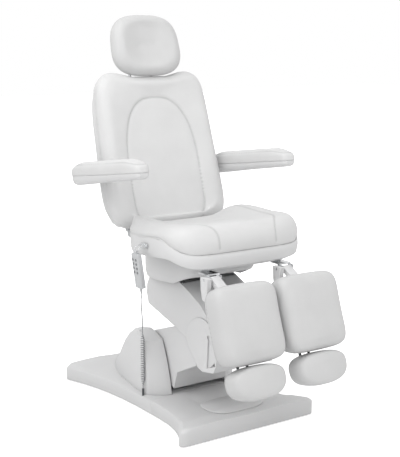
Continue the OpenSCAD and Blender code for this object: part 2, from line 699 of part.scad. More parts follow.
leg_pivot_y = -445;
leg_pivot_z = 593;
leg_pivot_x = 160;
splay_y = leg_pivot_y + 60;
splay_pin_d = 16;
splay_top_z = leg_pivot_z + 18;
splay_boss_h = 58;
rail_front_y = seat_mid_y - seat_l * pan_share * 0.46;
rail_rear_y = seat_mid_y + seat_l * pan_share / 2 - over;
module seat_frame() {
    color(steel_col) union() {
        on_seat() {
            for (side = [-1, 1])
                translate([side * seat_rail_x - seat_rail_w / 2, rail_front_y, seat_frame_top - seat_rail_h])
                    cube([seat_rail_w, rail_rear_y - rail_front_y, seat_rail_h]);
            translate([-leg_pivot_x - seat_rail_w, rail_front_y, seat_frame_top - seat_rail_h])
                cube([2 * (leg_pivot_x + seat_rail_w), 2 * seat_rail_w, seat_rail_h * 0.8]);
            translate([-recline_lug_x - lug_t, rail_rear_y - seat_rail_w, seat_frame_top - seat_rail_h])
                cube([2 * (recline_lug_x + lug_t), seat_rail_w, seat_rail_h * 0.8]);
        }
        plates(recline_lug_x, lug_t) polygon(concat(
            [for (q = recline_lug_shares) [-recline_y, recline_z] + q * recline_pin_d],
            arc([-recline_y, recline_z], recline_pin_d * 0.9, 80, 260, 8)));
        translate([0, recline_y, recline_z]) shaft(recline_pin_d, recline_lug_x + 4 * lug_t);
        plates(tilt_lug_x - carrier_t - pass_gap / 2, lug_t) polygon(concat(
            [[-tilt_y + tilt_pin_d * 2, seat_z + seat_frame_top - seat_rail_h * 0.7]],
            [[-tilt_y - tilt_pin_d * 0.8, seat_z + seat_frame_top - seat_rail_h * 0.8]],
            arc([-tilt_y, tilt_z], tilt_pin_d * 0.85, 180, 360, 8)));
        translate([0, tilt_y, tilt_z]) shaft(tilt_pin_d, tilt_lug_x + carrier_t + over);
        for (side = [-1, 1]) translate([side * leg_pivot_x, splay_y, splay_top_z]) difference() {
            cylinder(d = 2.2 * splay_pin_d, h = splay_boss_h, $fn = fine);
            translate([0, 0, -over]) cylinder(d = splay_pin_d + 2 * run_gap, h = splay_pin_d * 1.8, $fn = fine);
        }
    }
}

// Back parts lie along the back's lean
module on_back() { translate([0, back_y, back_z]) rotate([-back_lean, 0, 0]) children(); }
module on_back_pad() { on_back() translate([0, back_pad_h, 0]) rotate([90, 0, 0]) children(); }
back_power = 5.5;
back_count = 48;
back_taper_share = 0.1;
back_dip_share = 0.04;
panel_w_share = 0.6;
panel_mid_share = 0.33;
panel_up_share = 0.49;
panel_down_share = 0.3;
function back_outline(share) = [for (p = rounded(back_w * share, back_h - back_w * (1 - share), back_power, back_count))
    let (u = p.y / back_h + 0.5)
    [p.x * (1 - back_taper_share * pow(max(0, u), 1.3)),
     p.y + back_h / 2 - back_dip_share * back_h * smooth(6 * u - 5) * smooth(1.3 - 3.4 * abs(p.x) / back_w)]];
function panel_outline(share) = [for (i = [0 : back_count - 1])
    let (a = 360 * (i + 0.5) / back_count, c = cos(a), s = sin(a), power = s > 0 ? 2.6 : 4)
    [share * back_w / 2 * panel_w_share * sign(c) * pow(abs(c), 2 / power),
     back_h * (panel_mid_share + share * (s > 0 ? panel_up_share : panel_down_share)
        * sign(s) * pow(abs(s), 2 / power))]];
back_pad_shares = [[0.95, 0], [0.965, 0.2], [1, 0.48], [0.99, 0.7], [0.94, 0.9], [0.84, 1]];
back_panel_shares = [[1.06, 0.8], [1, 0.72], [0.93, 0.77], [0.6, 0.74], [0.25, 0.73]];
module back_cushion() {
    color(pad_col) on_back_pad() skin(concat(
        [for (s = back_pad_shares) lift(back_outline(s[0]), back_pad_h * s[1] + soft_gap / 3)],
        [for (s = back_panel_shares) lift(panel_outline(s[0]), back_pad_h * s[1])]));
}
back_shell_shares = [[0.78, 1], [0.88, 0.92], [0.95, 0.66], [0.965, 0.25], [0.965, 0]];
back_cavity_w = back_w * 0.72;
back_cavity_l = back_h - 70;
back_frame_t = 24;
module back_shell() {
    color(shell_col) difference() {
        on_back_pad() difference() {
            skin([for (s = back_shell_shares) lift(back_outline(s[0]), -back_shell_h * s[1])]);
            translate([-back_cavity_w / 2, -over * 4, -back_frame_t - 2 * soft_gap])
                cube([back_cavity_w, back_cavity_l, back_frame_t + 2 * soft_gap + over]);
            for (side = [-1, 1]) translate([side * head_bar_x, back_h / 2, -back_frame_t / 2 - soft_gap])
                rotate([-90, 0, 0]) cylinder(d = head_bar_d + 4 * pass_gap, h = back_h, $fn = fine);
        }
        at_rest_pivot() shaft(rest_pin_d + pass_gap, back_w);
    }
}
rest_pin_d = 16;
back_mid = back_pad_h + back_frame_t / 2 + soft_gap;
rest_pivot_up = 221;
module at_rest_pivot() {
    on_back() translate([0, back_mid, rest_pivot_up]) children();
}
head_bar_x = 50;
back_upright_x = back_w * 0.29;
back_tube_w = 30;
back_lug_t = 8;
back_lug_x = recline_lug_x + lug_t + pass_gap;
recline_back_y = (recline_y - back_y) * cos(back_lean) - (recline_z - back_z) * sin(back_lean);
recline_back_z = (recline_y - back_y) * sin(back_lean) + (recline_z - back_z) * cos(back_lean);
back_lug_h = 60;
cross_shares = [0, 0.32, 0.6, 0.94];
module back_frame() {
    back_face = back_pad_h + soft_gap;
    color(steel_col) difference() {
        union() {
            on_back_pad() translate([0, 0, -back_frame_t - soft_gap]) {
                for (side = [-1, 1]) translate([side * back_upright_x - back_tube_w / 2, 0, 0])
                    cube([back_tube_w, back_cavity_l - back_tube_w, back_frame_t]);
                for (s = cross_shares) translate([-back_upright_x, s * (back_cavity_l - back_tube_w), 0])
                    cube([2 * back_upright_x, back_tube_w, back_frame_t]);
            }
            for (side = [-1, 1]) on_head_bar(side)
                translate([0, 0, cross_shares[2] * back_cavity_l - head_up])
                    cylinder(d = back_frame_t, h = (1 - cross_shares[2]) * back_cavity_l - back_tube_w / 2, $fn = fine);
            at_rest_pivot() shaft(rest_pin_d, rest_x + rest_w / 4);
            on_back() plates(back_lug_x + back_lug_t / 2, back_lug_t) {
                translate([-recline_back_y, recline_back_z]) circle(r = recline_pin_d, $fn = fine);
                polygon([[-recline_back_y + recline_pin_d * 0.9, recline_back_z + recline_pin_d * 0.3],
                    [-back_face, -4 * pass_gap], [-back_face, back_lug_h], [-back_face - back_frame_t, back_lug_h],
                    [-back_face - back_frame_t, -recline_pin_d], [-recline_back_y, recline_back_z - recline_pin_d * 0.9]]);
            }
        }
        translate([0, recline_y, recline_z]) shaft(recline_pin_d + 2 * run_gap, back_w);
        for (side = [-1, 1]) on_head_bar(side) translate([0, 0, -head_bar_l - back_tube_w])
            cylinder(d = head_bar_d + 2 * run_gap, h = head_bar_l + back_tube_w, $fn = fine);
    }
}
module on_head_bar(side) { on_head() translate([side * head_bar_x, 0, 0]) children(); }

// Headrest
head_up = 725;
head_pivot_d = 12;
head_bar_l = 420;
module on_head() { on_back() translate([0, back_mid, head_up]) children(); }
module headrest_bars() {
    color(chrome_col) on_head() difference() {
        union() {
            for (side = [-1, 1]) translate([side * head_bar_x, 0, -head_bar_l])
                cylinder(d = head_bar_d, h = head_bar_l, $fn = fine);
            cube([2 * head_bar_x + 2 * head_pivot_d, 2 * head_pivot_d, 2 * head_pivot_d], center = true);
        }
        shaft(head_pivot_d + 2 * run_gap, 2 * head_bar_x);
    }
}
head_plate_w = head_w * 0.5;
head_plate_h = head_h * 0.5;
module headrest_bracket() {
    ear_x = head_bar_x + 2 * head_pivot_d;
    color(steel_col) on_head() union() {
        shaft(head_pivot_d, ear_x + lug_t / 2);
        plates(ear_x, lug_t / 2) union() {
            circle(d = 2 * head_pivot_d, $fn = fine);
            translate([0, -head_pivot_d]) square([2 * head_pivot_d, 2 * head_pivot_d]);
        }
        translate([-head_plate_w / 2, -2 * head_pivot_d - lug_t / 2, -head_plate_h / 2])
            cube([head_plate_w, lug_t / 2, head_plate_h]);
    }
}
head_count = 32;
function head_outline(share) = [for (p = rounded(head_w * share, head_h - head_w * (1 - share), 3, head_count))
    [p.x * (1 - 0.1 * p.y / head_h), p.y]];
head_pad_shares = [[0.6, 0, 0], [0.86, 0.1, 0], [0.97, 0.3, 0], [1, 0.55, 0], [0.95, 0.8, 0], [0.84, 0.95, 0], [0.66, 1, 1],
    [0.42, 0.97, 1], [0.2, 0.9, 1]];
head_dish_share = 0.22;
module headrest_pad() {
    color(pad_col) on_head() translate([0, -2 * head_pivot_d - lug_t / 2 - soft_gap / 3, 0]) rotate([90, 0, 0])
        skin([for (s = head_pad_shares) [for (p = head_outline(s[0]))
            [p.x, p.y, head_t * (s[1] - s[2] * head_dish_share * (1 - pow(min(1, norm([2.4 * p.x / head_w, 1.6 * p.y / head_h])), 2)))]]]);
}

// Armrests: a moulded shell that turns on the back's pin, with a pad on top
rest_rise = 7.4;
rest_rear = 54;
rest_seam_z = 12;
rest_count = 24;
module on_rest(side) {
    at_rest_pivot() translate([side * rest_x, 0, 0]) rotate([back_lean - rest_rise, 0, 0])
        translate([0, rest_rear - rest_l / 2, rest_seam_z]) children();
}
function rest_outline(share) = [for (p = rounded(rest_w * share, rest_l - rest_w * (1 - share), 4, rest_count))
    [p.x, p.y]];
rest_shell_shares = [[0.5, 1], [0.8, 0.86], [0.94, 0.5], [0.96, 0]];
rest_pad_shares = [[0.97, 0], [1, 0.25], [0.99, 0.6], [0.9, 0.88], [0.6, 1]];
function rest_belly(y) = 1 + 0.35 * smooth(3 * y / rest_l - 0.1) - 0.15 * smooth(-3 * y / rest_l);
module arm_shell(side) {
    color(shell_col) difference() {
        on_rest(side) skin([for (s = rest_shell_shares) [for (p = rest_outline(s[0]))
            [p.x, p.y, -rest_shell_h * s[1] * rest_belly(p.y)]]]);
        at_rest_pivot() shaft(rest_pin_d + 2 * run_gap, rest_x + rest_w / 4 + over);
    }
}
module arm_pad(side) {
    color(pad_col) on_rest(side) skin([for (s = rest_pad_shares)
        lift(rest_outline(s[0]), rest_pad_h * s[1] + soft_gap / 3)]);
}
module arm_shell_left() { arm_shell(-1); }
module arm_shell_right() { arm_shell(1); }
module arm_pad_left() { arm_pad(-1); }
module arm_pad_right() { arm_pad(1); }

// Leg rests: a swivelling clevis, a padded plate on an arm, and a foot pad on sliding rods
clevis_w = 52;
clevis_t = 6;
leg_pin_d = 10;
module leg_hinge(side) {
    color(chrome_col) translate([side * leg_pivot_x, 0, 0]) union() {
        translate([0, splay_y, splay_top_z - clevis_t]) cylinder(d = 2 * splay_pin_d, h = clevis_t - run_gap, $fn = fine);
        translate([0, splay_y, splay_top_z - clevis_t]) cylinder(d = splay_pin_d, h = splay_pin_d * 1.6, $fn = fine);
        translate([-clevis_w / 2, leg_pivot_y + leg_pin_d / 2, splay_top_z - clevis_t])
            cube([clevis_w, splay_y - leg_pivot_y - leg_pin_d / 2, clevis_t - pass_gap / 2]);
        for (s = [-1, 1]) translate([s * (clevis_w - clevis_t) / 2, 0, 0]) across(clevis_t / 2)
            polygon(concat([[-leg_pivot_y + leg_pin_d, splay_top_z - clevis_t]],
                [[-leg_pivot_y - 2 * leg_pin_d, splay_top_z - clevis_t]],
                arc([-leg_pivot_y, leg_pivot_z], leg_pin_d, 180, 360, 8)));
        translate([-lever_in - lever_t, leg_pivot_y, leg_pivot_z]) rotate([0, 90, 0])
            cylinder(d = leg_pin_d, h = lever_in + lever_t + clevis_w / 2 + over, $fn = fine);
    }
}
module leg_hinge_left() { leg_hinge(-1); }
module leg_hinge_right() { leg_hinge(1); }

module on_leg(side) {
    translate([side * leg_pivot_x, leg_pivot_y, leg_pivot_z]) rotate([-leg_lean, 0, 0]) children();
}
calf_back = 55;
calf_top = 34;
leg_plate_t = 8;
leg_eye_w = clevis_w - 2 * clevis_t - 2 * pass_gap;
rod_d = 10;
rod_x = 20;
rod_y = calf_back - leg_plate_t - rod_d;
guide_l = 40;
arm_reach = 40;
rod_top = -90;
module leg_frame(side) {
    in = -side * (leg_pivot_x - leg_x);
    color(grey_col) on_leg(side) union() {
        difference() {
            union() {
                across(leg_eye_w / 2) polygon(concat(
                    arc([0, 0], leg_pin_d, 60, 250, 8),
                    [[calf_back - leg_plate_t * 0.5, -calf_top - arm_reach], [calf_back - leg_plate_t * 0.5, -calf_top - leg_plate_t]]));
            }
            shaft(leg_pin_d + 2 * run_gap, clevis_w);
        }
        translate([in, -calf_back, -calf_top - calf_h / 2]) rotate([90, 0, 0])
            linear_extrude(leg_plate_t, center = true)
                polygon(rounded(calf_w * 0.7, calf_h * 0.8, 5, 32));
        for (s = [-1, 1]) translate([in + s * rod_x, -rod_y, -calf_top - calf_h * 0.86]) difference() {
            translate([-rod_d, -rod_d - leg_plate_t / 2, 0]) cube([2 * rod_d, 2 * rod_d, guide_l]);
            translate([0, 0, -over]) cylinder(d = rod_d + 2 * run_gap, h = guide_l + 2 * over, $fn = fine);
        }
    }
}
module leg_frame_left() { leg_frame(-1); }
module leg_frame_right() { leg_frame(1); }
lever_t = 18;
lever_l = 74;
lever_w = 46;
lever_in = clevis_w / 2 + pass_gap;
module release_lever(side) {
    color(shell_col) translate([side * leg_pivot_x - lever_in - lever_t / 2, leg_pivot_y, leg_pivot_z])
        difference() {
            across(lever_t / 2) polygon(concat(
                [[-lever_w * 0.5, leg_pin_d * 0.9], [-lever_w * 0.44, -lever_l * 0.5]],
                arc([0, -lever_l * 0.82], lever_w * 0.3, 200, 340, 8),
                [[lever_w * 0.42, -lever_l * 0.5], [lever_w * 0.5, leg_pin_d * 0.9]]));
            shaft(leg_pin_d + 2 * run_gap, lever_t);
        }
}
module release_lever_left() { release_lever(-1); }
module release_lever_right() { release_lever(1); }
pad_edge_shares = [[0.9, 0], [0.97, 0.2], [1, 0.5], [0.99, 0.72], [0.93, 0.9], [0.8, 0.985], [0.4, 1.02]];
calf_count = 28;
module calf_pad(side) {
    in = -side * (leg_pivot_x - leg_x);
    color(pad_col) on_leg(side)
        translate([in, -calf_back - leg_plate_t / 2 - soft_gap / 3, -calf_top - calf_h / 2]) rotate([90, 0, 0])
            skin([for (s = pad_edge_shares)
                lift(rounded(calf_w * s[0], calf_h - calf_w * (1 - s[0]), 6.5, calf_count), calf_t * s[1])]);
}
module calf_pad_left() { calf_pad(-1); }
module calf_pad_right() { calf_pad(1); }
foot_gap = 6;
foot_count = 24;
function foot_outline(share) = [for (p = rounded(foot_w * share, foot_h - foot_w * (1 - share) * 0.6, 2.6, foot_count))
    [p.x, p.y > 0 ? p.y * 0.72 : p.y]];
foot_mid = -calf_top - calf_h - foot_gap - foot_h * 0.36;
module foot_rail(side) {
    in = -side * (leg_pivot_x - leg_x);
    color(dark_col) on_leg(side) translate([in, 0, 0]) union() {
        for (s = [-1, 1]) translate([s * rod_x, -rod_y, foot_mid - foot_h * 0.2])
            cylinder(d = rod_d, h = rod_top - foot_mid + foot_h * 0.2, $fn = fine);
        translate([0, -calf_back, foot_mid]) rotate([90, 0, 0]) linear_extrude(leg_plate_t, center = true)
            polygon(rounded(foot_w * 0.6, foot_h * 0.5, 4, 32));
        for (s = [-1, 1]) translate([s * rod_x - rod_d, -calf_back + leg_plate_t / 2 - pass_gap, foot_mid - foot_h * 0.2])
            cube([2 * rod_d, 2 * rod_d, foot_h * 0.4]);
    }
}
module foot_rail_left() { foot_rail(-1); }
module foot_rail_right() { foot_rail(1); }
module foot_pad(side) {
    in = -side * (leg_pivot_x - leg_x);
    color(pad_col) on_leg(side) translate([in, -calf_back - leg_plate_t / 2 - soft_gap / 3, foot_mid])
        rotate([90, 0, 0]) skin([for (s = pad_edge_shares) lift(foot_outline(s[0]), foot_t * s[1])]);
}
module foot_pad_left() { foot_pad(-1); }
module foot_pad_right() { foot_pad(1); }

// Handset, hung by a wire hook on the patient's right side of the seat
handset_out = 37;
handset_x = -seat_w / 2 - handset_out;
handset_y = -200;
handset_bar_z = 668;
hook_z = 688;
handset_lean = 8;
handset_top = 7;
eye_d = 11;
eye_l = 16;
module on_handset() { translate([handset_x, handset_y, handset_bar_z]) rotate([0, -handset_lean, 0]) children(); }
key_count = 8;
key_d = 9;
key_rise = 1.6;
key_pitch = 16;
key_travel = 1;
key_well = 3;
key_inset = 0.3;
function key_place(i) = [-handset_t / 2, (i % 2 == 0 ? -1 : 1) * handset_w * 0.22,
    -handset_top - handset_l * 0.16 - floor(i / 2) * key_pitch];
module handset_body() {
    color(grey_col) on_handset() difference() {
        union() {
            translate([0, 0, -handset_l - handset_top]) linear_extrude(handset_l)
                polygon(rounded(handset_t, handset_w, 5, 32));
            translate([0, 0, -handset_l - handset_top - relief_l]) rotate_extrude($fn = fine)
                polygon([[0, 0], [lead_d * 0.8, 0], [lead_d * 1.6, relief_l], [0, relief_l]]);
            rotate([90, 0, 0]) cylinder(d = eye_d, h = eye_l, center = true, $fn = fine);
            translate([-eye_d / 2, -eye_l / 2, -handset_top - over]) cube([eye_d, eye_l, handset_top + over]);
        }
        rotate([90, 0, 0]) cylinder(d = wire_d + 2 * run_gap, h = 2 * eye_l, center = true, $fn = fine);
        for (i = [0 : key_count - 1]) translate(key_place(i)) rotate([0, 90, 0])
            translate([0, 0, -over]) cylinder(d = key_d + 2 * key_inset, h = key_well + over, $fn = fine);
    }
}
relief_l = 24;
module handset_key(i) {
    color(dark_col) on_handset() translate(key_place(i)) rotate([0, 90, 0])
        translate([0, 0, -key_rise]) cylinder(d = key_d, h = key_rise + key_well - key_travel - key_inset, $fn = fine);
}
module handset_key_1() { handset_key(0); }
module handset_key_2() { handset_key(1); }
module handset_key_3() { handset_key(2); }
module handset_key_4() { handset_key(3); }
module handset_key_5() { handset_key(4); }
module handset_key_6() { handset_key(5); }
module handset_key_7() { handset_key(6); }
module handset_key_8() { handset_key(7); }
wire_d = 4;
hook_plate = [3, 44, 16];
hook_w = 13;
module handset_holder() {
    color(chrome_col) union() {
        translate([-seat_w / 2 - soft_gap - hook_plate.x, handset_y - hook_plate.y / 2, hook_z - hook_plate.z / 2])
            cube(hook_plate);
        for (s = [-1, 1]) tube([[-seat_w / 2 - soft_gap - hook_plate.x / 2, handset_y + s * hook_w, hook_z],
            [-seat_w / 2 - 4 * wire_d, handset_y + s * hook_w, hook_z],
            [handset_x + 2 * wire_d, handset_y + s * hook_w, hook_z - wire_d],
            [handset_x, handset_y + s * hook_w, handset_bar_z]], wire_d, 8, [0, 1, 0]);
        translate([handset_x, handset_y, handset_bar_z]) rotate([90, 0, 0])
            cylinder(d = wire_d, h = 2 * hook_w + wire_d, center = true, $fn = fine);
    }
}

// The lead from the handset to the base: a straight stretch and a curly one
module tube(path, d, sides, ref) {
    m = len(path);
    skin([for (i = [0 : m - 1])
        let (t = unit(path[min(i + 1, m - 1)] - path[max(i - 1, 0)]),
             u = unit(cross(ref, t)), v = cross(t, u))
        [for (j = [0 : sides - 1]) path[i] + d / 2 * (cos(360 * j / sides) * u + sin(360 * j / sides) * v)]]);
}
gland_x = -213;
gland_y = -40;
gland_top_z = 84;
gland_d = 9;
coil_base = [gland_x, gland_y, gland_top_z];
coil_top_z = 316;
curl_r = curl_d / 2 - lead_d / 2;
curl_steps = 8;
coil_run = coil_top_z - gland_top_z;
coil_turns = [for (i = [0 : curl_steps * curl_count])
    let (s = i / (curl_steps * curl_count), ease = min(1, 8 * s, 8 * (1 - s)),
         a = 360 * i / curl_steps)
    coil_base + [curl_r * ease * cos(a), curl_r * ease * sin(a), 2 * lead_d + (coil_run - 4 * lead_d) * s]];
coil_path = concat([coil_base, coil_base + [0, 0, lead_d]], coil_turns,
    [coil_base + [0, 0, coil_run - lead_d], coil_base + [0, 0, coil_run]]);
// Least free gap between neighbouring curls
coil_gap = min([for (i = [0 : len(coil_turns) - 1], k = [curl_steps - 2 : curl_steps + 2])
    i + k < len(coil_turns) ? norm(coil_turns[i + k] - coil_turns[i]) : coil_run]) - lead_d;
echo(coil_gap = coil_gap);
module handset_coil() { color(grey_col) tube(coil_path, lead_d, 6, [1, 0, 0]); }
lead_path = [[-213, -40, 316], [-213, -40, 326], [-214, -42, 345], [-219, -49, 368], [-228, -62, 393],
    [-240, -80, 418], [-256, -105, 444], [-274, -135, 467], [-291, -165, 484], [-303, -187, 494],
    [-308.4, -197, 499.5], [-309.4, -200, 506], [handset_x + 22.1, handset_y, handset_bar_z - 157.6]];
module handset_lead() { color(grey_col) tube(lead_path, lead_d, 8, [1, 0, 0]); }
module cord_gland() {
    color(dark_col) translate([gland_x, gland_y, 0]) union() {
        translate([0, 0, base_edge_h - 12]) cylinder(d = gland_d, h = gland_top_z - base_edge_h + 12, $fn = fine);
        translate([0, 0, base_edge_h - 14]) cylinder(d = gland_d * 1.1, h = 4, $fn = fine);
    }
}
module gland_hole() {
    translate([gland_x, gland_y, 0]) cylinder(d = gland_d + 2 * run_gap, h = 3 * deck_h, $fn = fine);
}

base_frame();
levelling_feet();
pivot_fork();
lower_pivot_shaft();
base_cover_front();
base_cover_rear();
access_plate();
hump_cover_left();
hump_cover_right();
pivot_hood();
mains_inlet();
cord_gland();
handset_coil();
lower_arm_frame();
lower_arm_cover();
knee_link();
knee_cover();
lower_tie_rods();
upper_arm_frame();
upper_arm_cover();
upper_tie_rods();
carriage_frame();
upper_pivot_shaft();
belly_cover();
seat_frame();
seat_shell();
seat_cushion();
handset_holder();
back_frame();
back_shell();
back_cushion();
headrest_bars();
headrest_bracket();
headrest_pad();
arm_shell_left();
arm_pad_left();
arm_shell_right();
arm_pad_right();
leg_hinge_left();
leg_hinge_right();
leg_frame_left();
leg_frame_right();
release_lever_left();
release_lever_right();
calf_pad_left();
calf_pad_right();
foot_rail_left();
foot_rail_right();
foot_pad_left();
foot_pad_right();
handset_body();
handset_lead();
handset_key_1();
handset_key_2();
handset_key_3();
handset_key_4();
handset_key_5();
handset_key_6();
handset_key_7();
handset_key_8();
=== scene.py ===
import json

import bmesh
import bpy
import numpy as np
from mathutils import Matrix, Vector
from mathutils.bvhtree import BVHTree

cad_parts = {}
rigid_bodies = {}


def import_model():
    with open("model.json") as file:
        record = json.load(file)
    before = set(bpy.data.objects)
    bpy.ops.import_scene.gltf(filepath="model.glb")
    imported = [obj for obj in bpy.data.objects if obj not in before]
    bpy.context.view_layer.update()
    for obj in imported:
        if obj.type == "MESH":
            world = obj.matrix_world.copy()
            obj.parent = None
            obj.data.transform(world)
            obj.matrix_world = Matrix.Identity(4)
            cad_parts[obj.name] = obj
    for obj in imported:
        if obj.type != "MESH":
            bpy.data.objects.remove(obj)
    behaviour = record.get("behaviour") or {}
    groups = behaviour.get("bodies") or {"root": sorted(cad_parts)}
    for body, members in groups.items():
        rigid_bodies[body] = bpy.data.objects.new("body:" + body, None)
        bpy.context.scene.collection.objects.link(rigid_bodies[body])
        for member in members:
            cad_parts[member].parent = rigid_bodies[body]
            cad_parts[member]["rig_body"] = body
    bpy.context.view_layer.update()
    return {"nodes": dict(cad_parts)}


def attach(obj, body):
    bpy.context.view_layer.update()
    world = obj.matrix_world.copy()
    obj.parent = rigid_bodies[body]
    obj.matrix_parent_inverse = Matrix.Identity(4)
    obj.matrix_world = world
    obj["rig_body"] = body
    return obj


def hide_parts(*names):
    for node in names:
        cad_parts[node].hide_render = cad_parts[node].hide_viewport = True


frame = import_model()
scene = bpy.context.scene

# The studio: a camera at eye height to the chair's right, looking slightly down at it, a pale
# floor that takes the shadow, a white surround and three large soft lamps.
CAMERA_AT = (-2.1241, -3.2569, 1.418)
CAMERA_AZIMUTH, CAMERA_PITCH = np.radians(-34.094), np.radians(10.657)
FOCAL_PX, IMAGE_LONG_PX, SENSOR = 1010.14, 457, 36

camera_data = bpy.data.cameras.new("camera")
camera_data.sensor_width = SENSOR
camera_data.lens = FOCAL_PX * SENSOR / IMAGE_LONG_PX
camera = bpy.data.objects.new("camera", camera_data)
scene.collection.objects.link(camera)
towards_camera = Vector((np.sin(CAMERA_AZIMUTH) * np.cos(CAMERA_PITCH),
                         -np.cos(CAMERA_AZIMUTH) * np.cos(CAMERA_PITCH), np.sin(CAMERA_PITCH)))
camera.location = CAMERA_AT
camera.rotation_euler = (-towards_camera).to_track_quat("-Z", "Y").to_euler()
scene.camera = camera
scene.view_settings.view_transform = "Standard"


class Sock:
    """A socket of a node tree. Sums and products of sockets and numbers add Math nodes to it."""

    def __init__(self, tree, out):
        self.tree, self.out = tree, out

    def make(self, kind, settings=None, inputs=None, output=0):
        """A new node in the same tree, with its settings made first and then its sockets."""
        node = self.tree.nodes.new(kind)
        for key, value in (settings or {}).items():
            setattr(node, key, value)
        for key, value in (inputs or {}).items():
            if isinstance(value, Sock):
                self.tree.links.new(value.out, node.inputs[key])
            else:
                node.inputs[key].default_value = value
        return Sock(self.tree, node.outputs[output])

    def calculated(self, operation, a, b):
        """A Math node's result for two sockets or numbers."""
        return self.make("ShaderNodeMath", {"operation": operation}, {0: a, 1: b})

    def __add__(self, other):
        return self.calculated("ADD", self, other)

    def __radd__(self, other):
        return self.calculated("ADD", other, self)

    def __sub__(self, other):
        return self.calculated("SUBTRACT", self, other)

    def __rsub__(self, other):
        return self.calculated("SUBTRACT", other, self)

    def __mul__(self, other):
        return self.calculated("MULTIPLY", self, other)

    def __rmul__(self, other):
        return self.calculated("MULTIPLY", other, self)

    def noise(self, scale, detail=2.0, rough=0.5):
        """Noise of features 1 / scale metres wide, from 0 to 1."""
        return self.make("ShaderNodeTexNoise", inputs={
            "Vector": self, "Scale": scale, "Detail": detail, "Roughness": rough})

    def ramp(self, low, high):
        """0 where the value is low, 1 where it is high, with a soft change between."""
        return self.make("ShaderNodeMapRange", {"interpolation_type": "SMOOTHSTEP"},
                         {"Value": self, "From Min": low, "From Max": high})

    def tint(self, dark, light):
        """The colour between two, by this value."""
        return self.make("ShaderNodeMix", {"data_type": "RGBA"},
                         {"Factor": self, 6: (*dark, 1), 7: (*light, 1)}, 2)

    def bump(self, depth, strength=1.0):
        """A normal from this value as a height of depth metres."""
        return self.make("ShaderNodeBump", inputs={"Height": self, "Distance": depth, "Strength": strength})


def lamp(name, place, aim, size, watts):
    """A square area lamp, so large that its shadows are soft."""
    data = bpy.data.lights.new(name, "AREA")
    data.size, data.energy = size, watts
    made = bpy.data.objects.new(name, data)
    made.location = place
    made.rotation_euler = (Vector(aim) - Vector(place)).to_track_quat("-Z", "Y").to_euler()
    scene.collection.objects.link(made)


lamp("lamp_above", (-1.6, -0.6, 3.4), (0, 0, 0.7), 2.6, 44)
lamp("lamp_left", (-3.2, -1.6, 2.4), (0, 0, 0.9), 2.2, 12)
lamp("lamp_front", (0.9, -3.8, 2.2), (0, 0, 0.6), 2.4, 23)

world = bpy.data.worlds.new("surround")
scene.world = world
world.use_nodes = True
tree = world.node_tree
rays = tree.nodes.new("ShaderNodeLightPath")
camera_ray, glossy_ray, clear_ray = (Sock(tree, rays.outputs[name]) for name in (
    "Is Camera Ray", "Is Glossy Ray", "Is Transmission Ray"))
seen = camera_ray.calculated("MAXIMUM", camera_ray, glossy_ray.calculated("MAXIMUM", glossy_ray, clear_ray))
# The surround looks white, and lights the chair by this share of white
AMBIENT = 0.79
tree.links.new(seen.make("ShaderNodeMapRange", inputs={"Value": seen, "To Min": AMBIENT, "To Max": 1.0}).out,
               tree.nodes["Background"].inputs["Strength"])
tree.nodes["Background"].inputs["Color"].default_value = (1, 1, 1, 1)

FLOOR_HALF = 20.0
FLOOR_LIFT, FLOOR_FAR_LIFT = 0.62, 1.0
FLOOR_NEAR, FLOOR_FAR = 0.7, 2.0
floor_mesh = bpy.data.meshes.new("studio_floor")
floor_mesh.from_pydata([(x * FLOOR_HALF, y * FLOOR_HALF, 0) for x, y in ((-1, -1), (1, -1), (1, 1), (-1, 1))],
                       [], [(0, 1, 2, 3)])
studio_floor = bpy.data.objects.new("studio_floor", floor_mesh)
scene.collection.objects.link(studio_floor)
floor_paint = bpy.data.materials.new("studio_floor")
floor_paint.use_nodes = True
tree = floor_paint.node_tree
shader = tree.nodes["Principled BSDF"]
shader.inputs["Base Color"].default_value = (0.86, 0.86, 0.86, 1)
shader.inputs["Roughness"].default_value = 0.9
shader.inputs["Specular IOR Level"].default_value = 0.1
shader.inputs["Emission Strength"].default_value = 1.0
# The floor looks whiter the further it is from the chair, so that it ends in the white surround
to_camera = Sock(tree, tree.nodes.new("ShaderNodeLightPath").outputs["Is Camera Ray"])
floor_place = Sock(tree, tree.nodes.new("ShaderNodeTexCoord").outputs["Object"])
away = floor_place.make("ShaderNodeVectorMath", {"operation": "LENGTH"}, {0: floor_place}, "Value")
lift = away.ramp(FLOOR_NEAR, FLOOR_FAR) * (FLOOR_FAR_LIFT - FLOOR_LIFT) + FLOOR_LIFT
tree.links.new((to_camera * lift).out, shader.inputs["Emission Color"])
floor_mesh.materials.append(floor_paint)

# Handset lead: a grey rubber-sheathed flex of 4 mm. It leaves the gland on the base in a tight
# curly stretch, then runs straight up to the handset. Both are drawn as curves with a round bevel.
LEAD_D = 0.004
CURL_D, CURLS, CURL_STEPS = 0.017, 24, 20
GLAND_TOP, COIL_RUN = np.array([-0.213, -0.040, 0.084]), 0.232
LEAD_ROUTE = np.array([
    [-213, -40, 316], [-213, -40, 326], [-214, -42, 345], [-219, -49, 368], [-228, -62, 393],
    [-240, -80, 418], [-256, -105, 444], [-274, -135, 467], [-291, -165, 484], [-303, -187, 494],
    [-308.4, -197, 499.5], [-309.4, -200, 506], [-309.9, -200, 510.4]]) / 1000


def finish(name, paint, **plain):
    """A material. Plain values go to the shader's sockets, and paint(place) gives those that vary."""
    made = bpy.data.materials.new(name)
    made.use_nodes = True
    tree = made.node_tree
    shader = tree.nodes["Principled BSDF"]
    place = Sock(tree, tree.nodes.new("ShaderNodeTexCoord").outputs["Object"])
    for key, value in plain.items():
        shader.inputs[key.replace("_", " ")].default_value = value
    for key, value in paint(place).items():
        tree.links.new(value.out, shader.inputs[key])
    return made


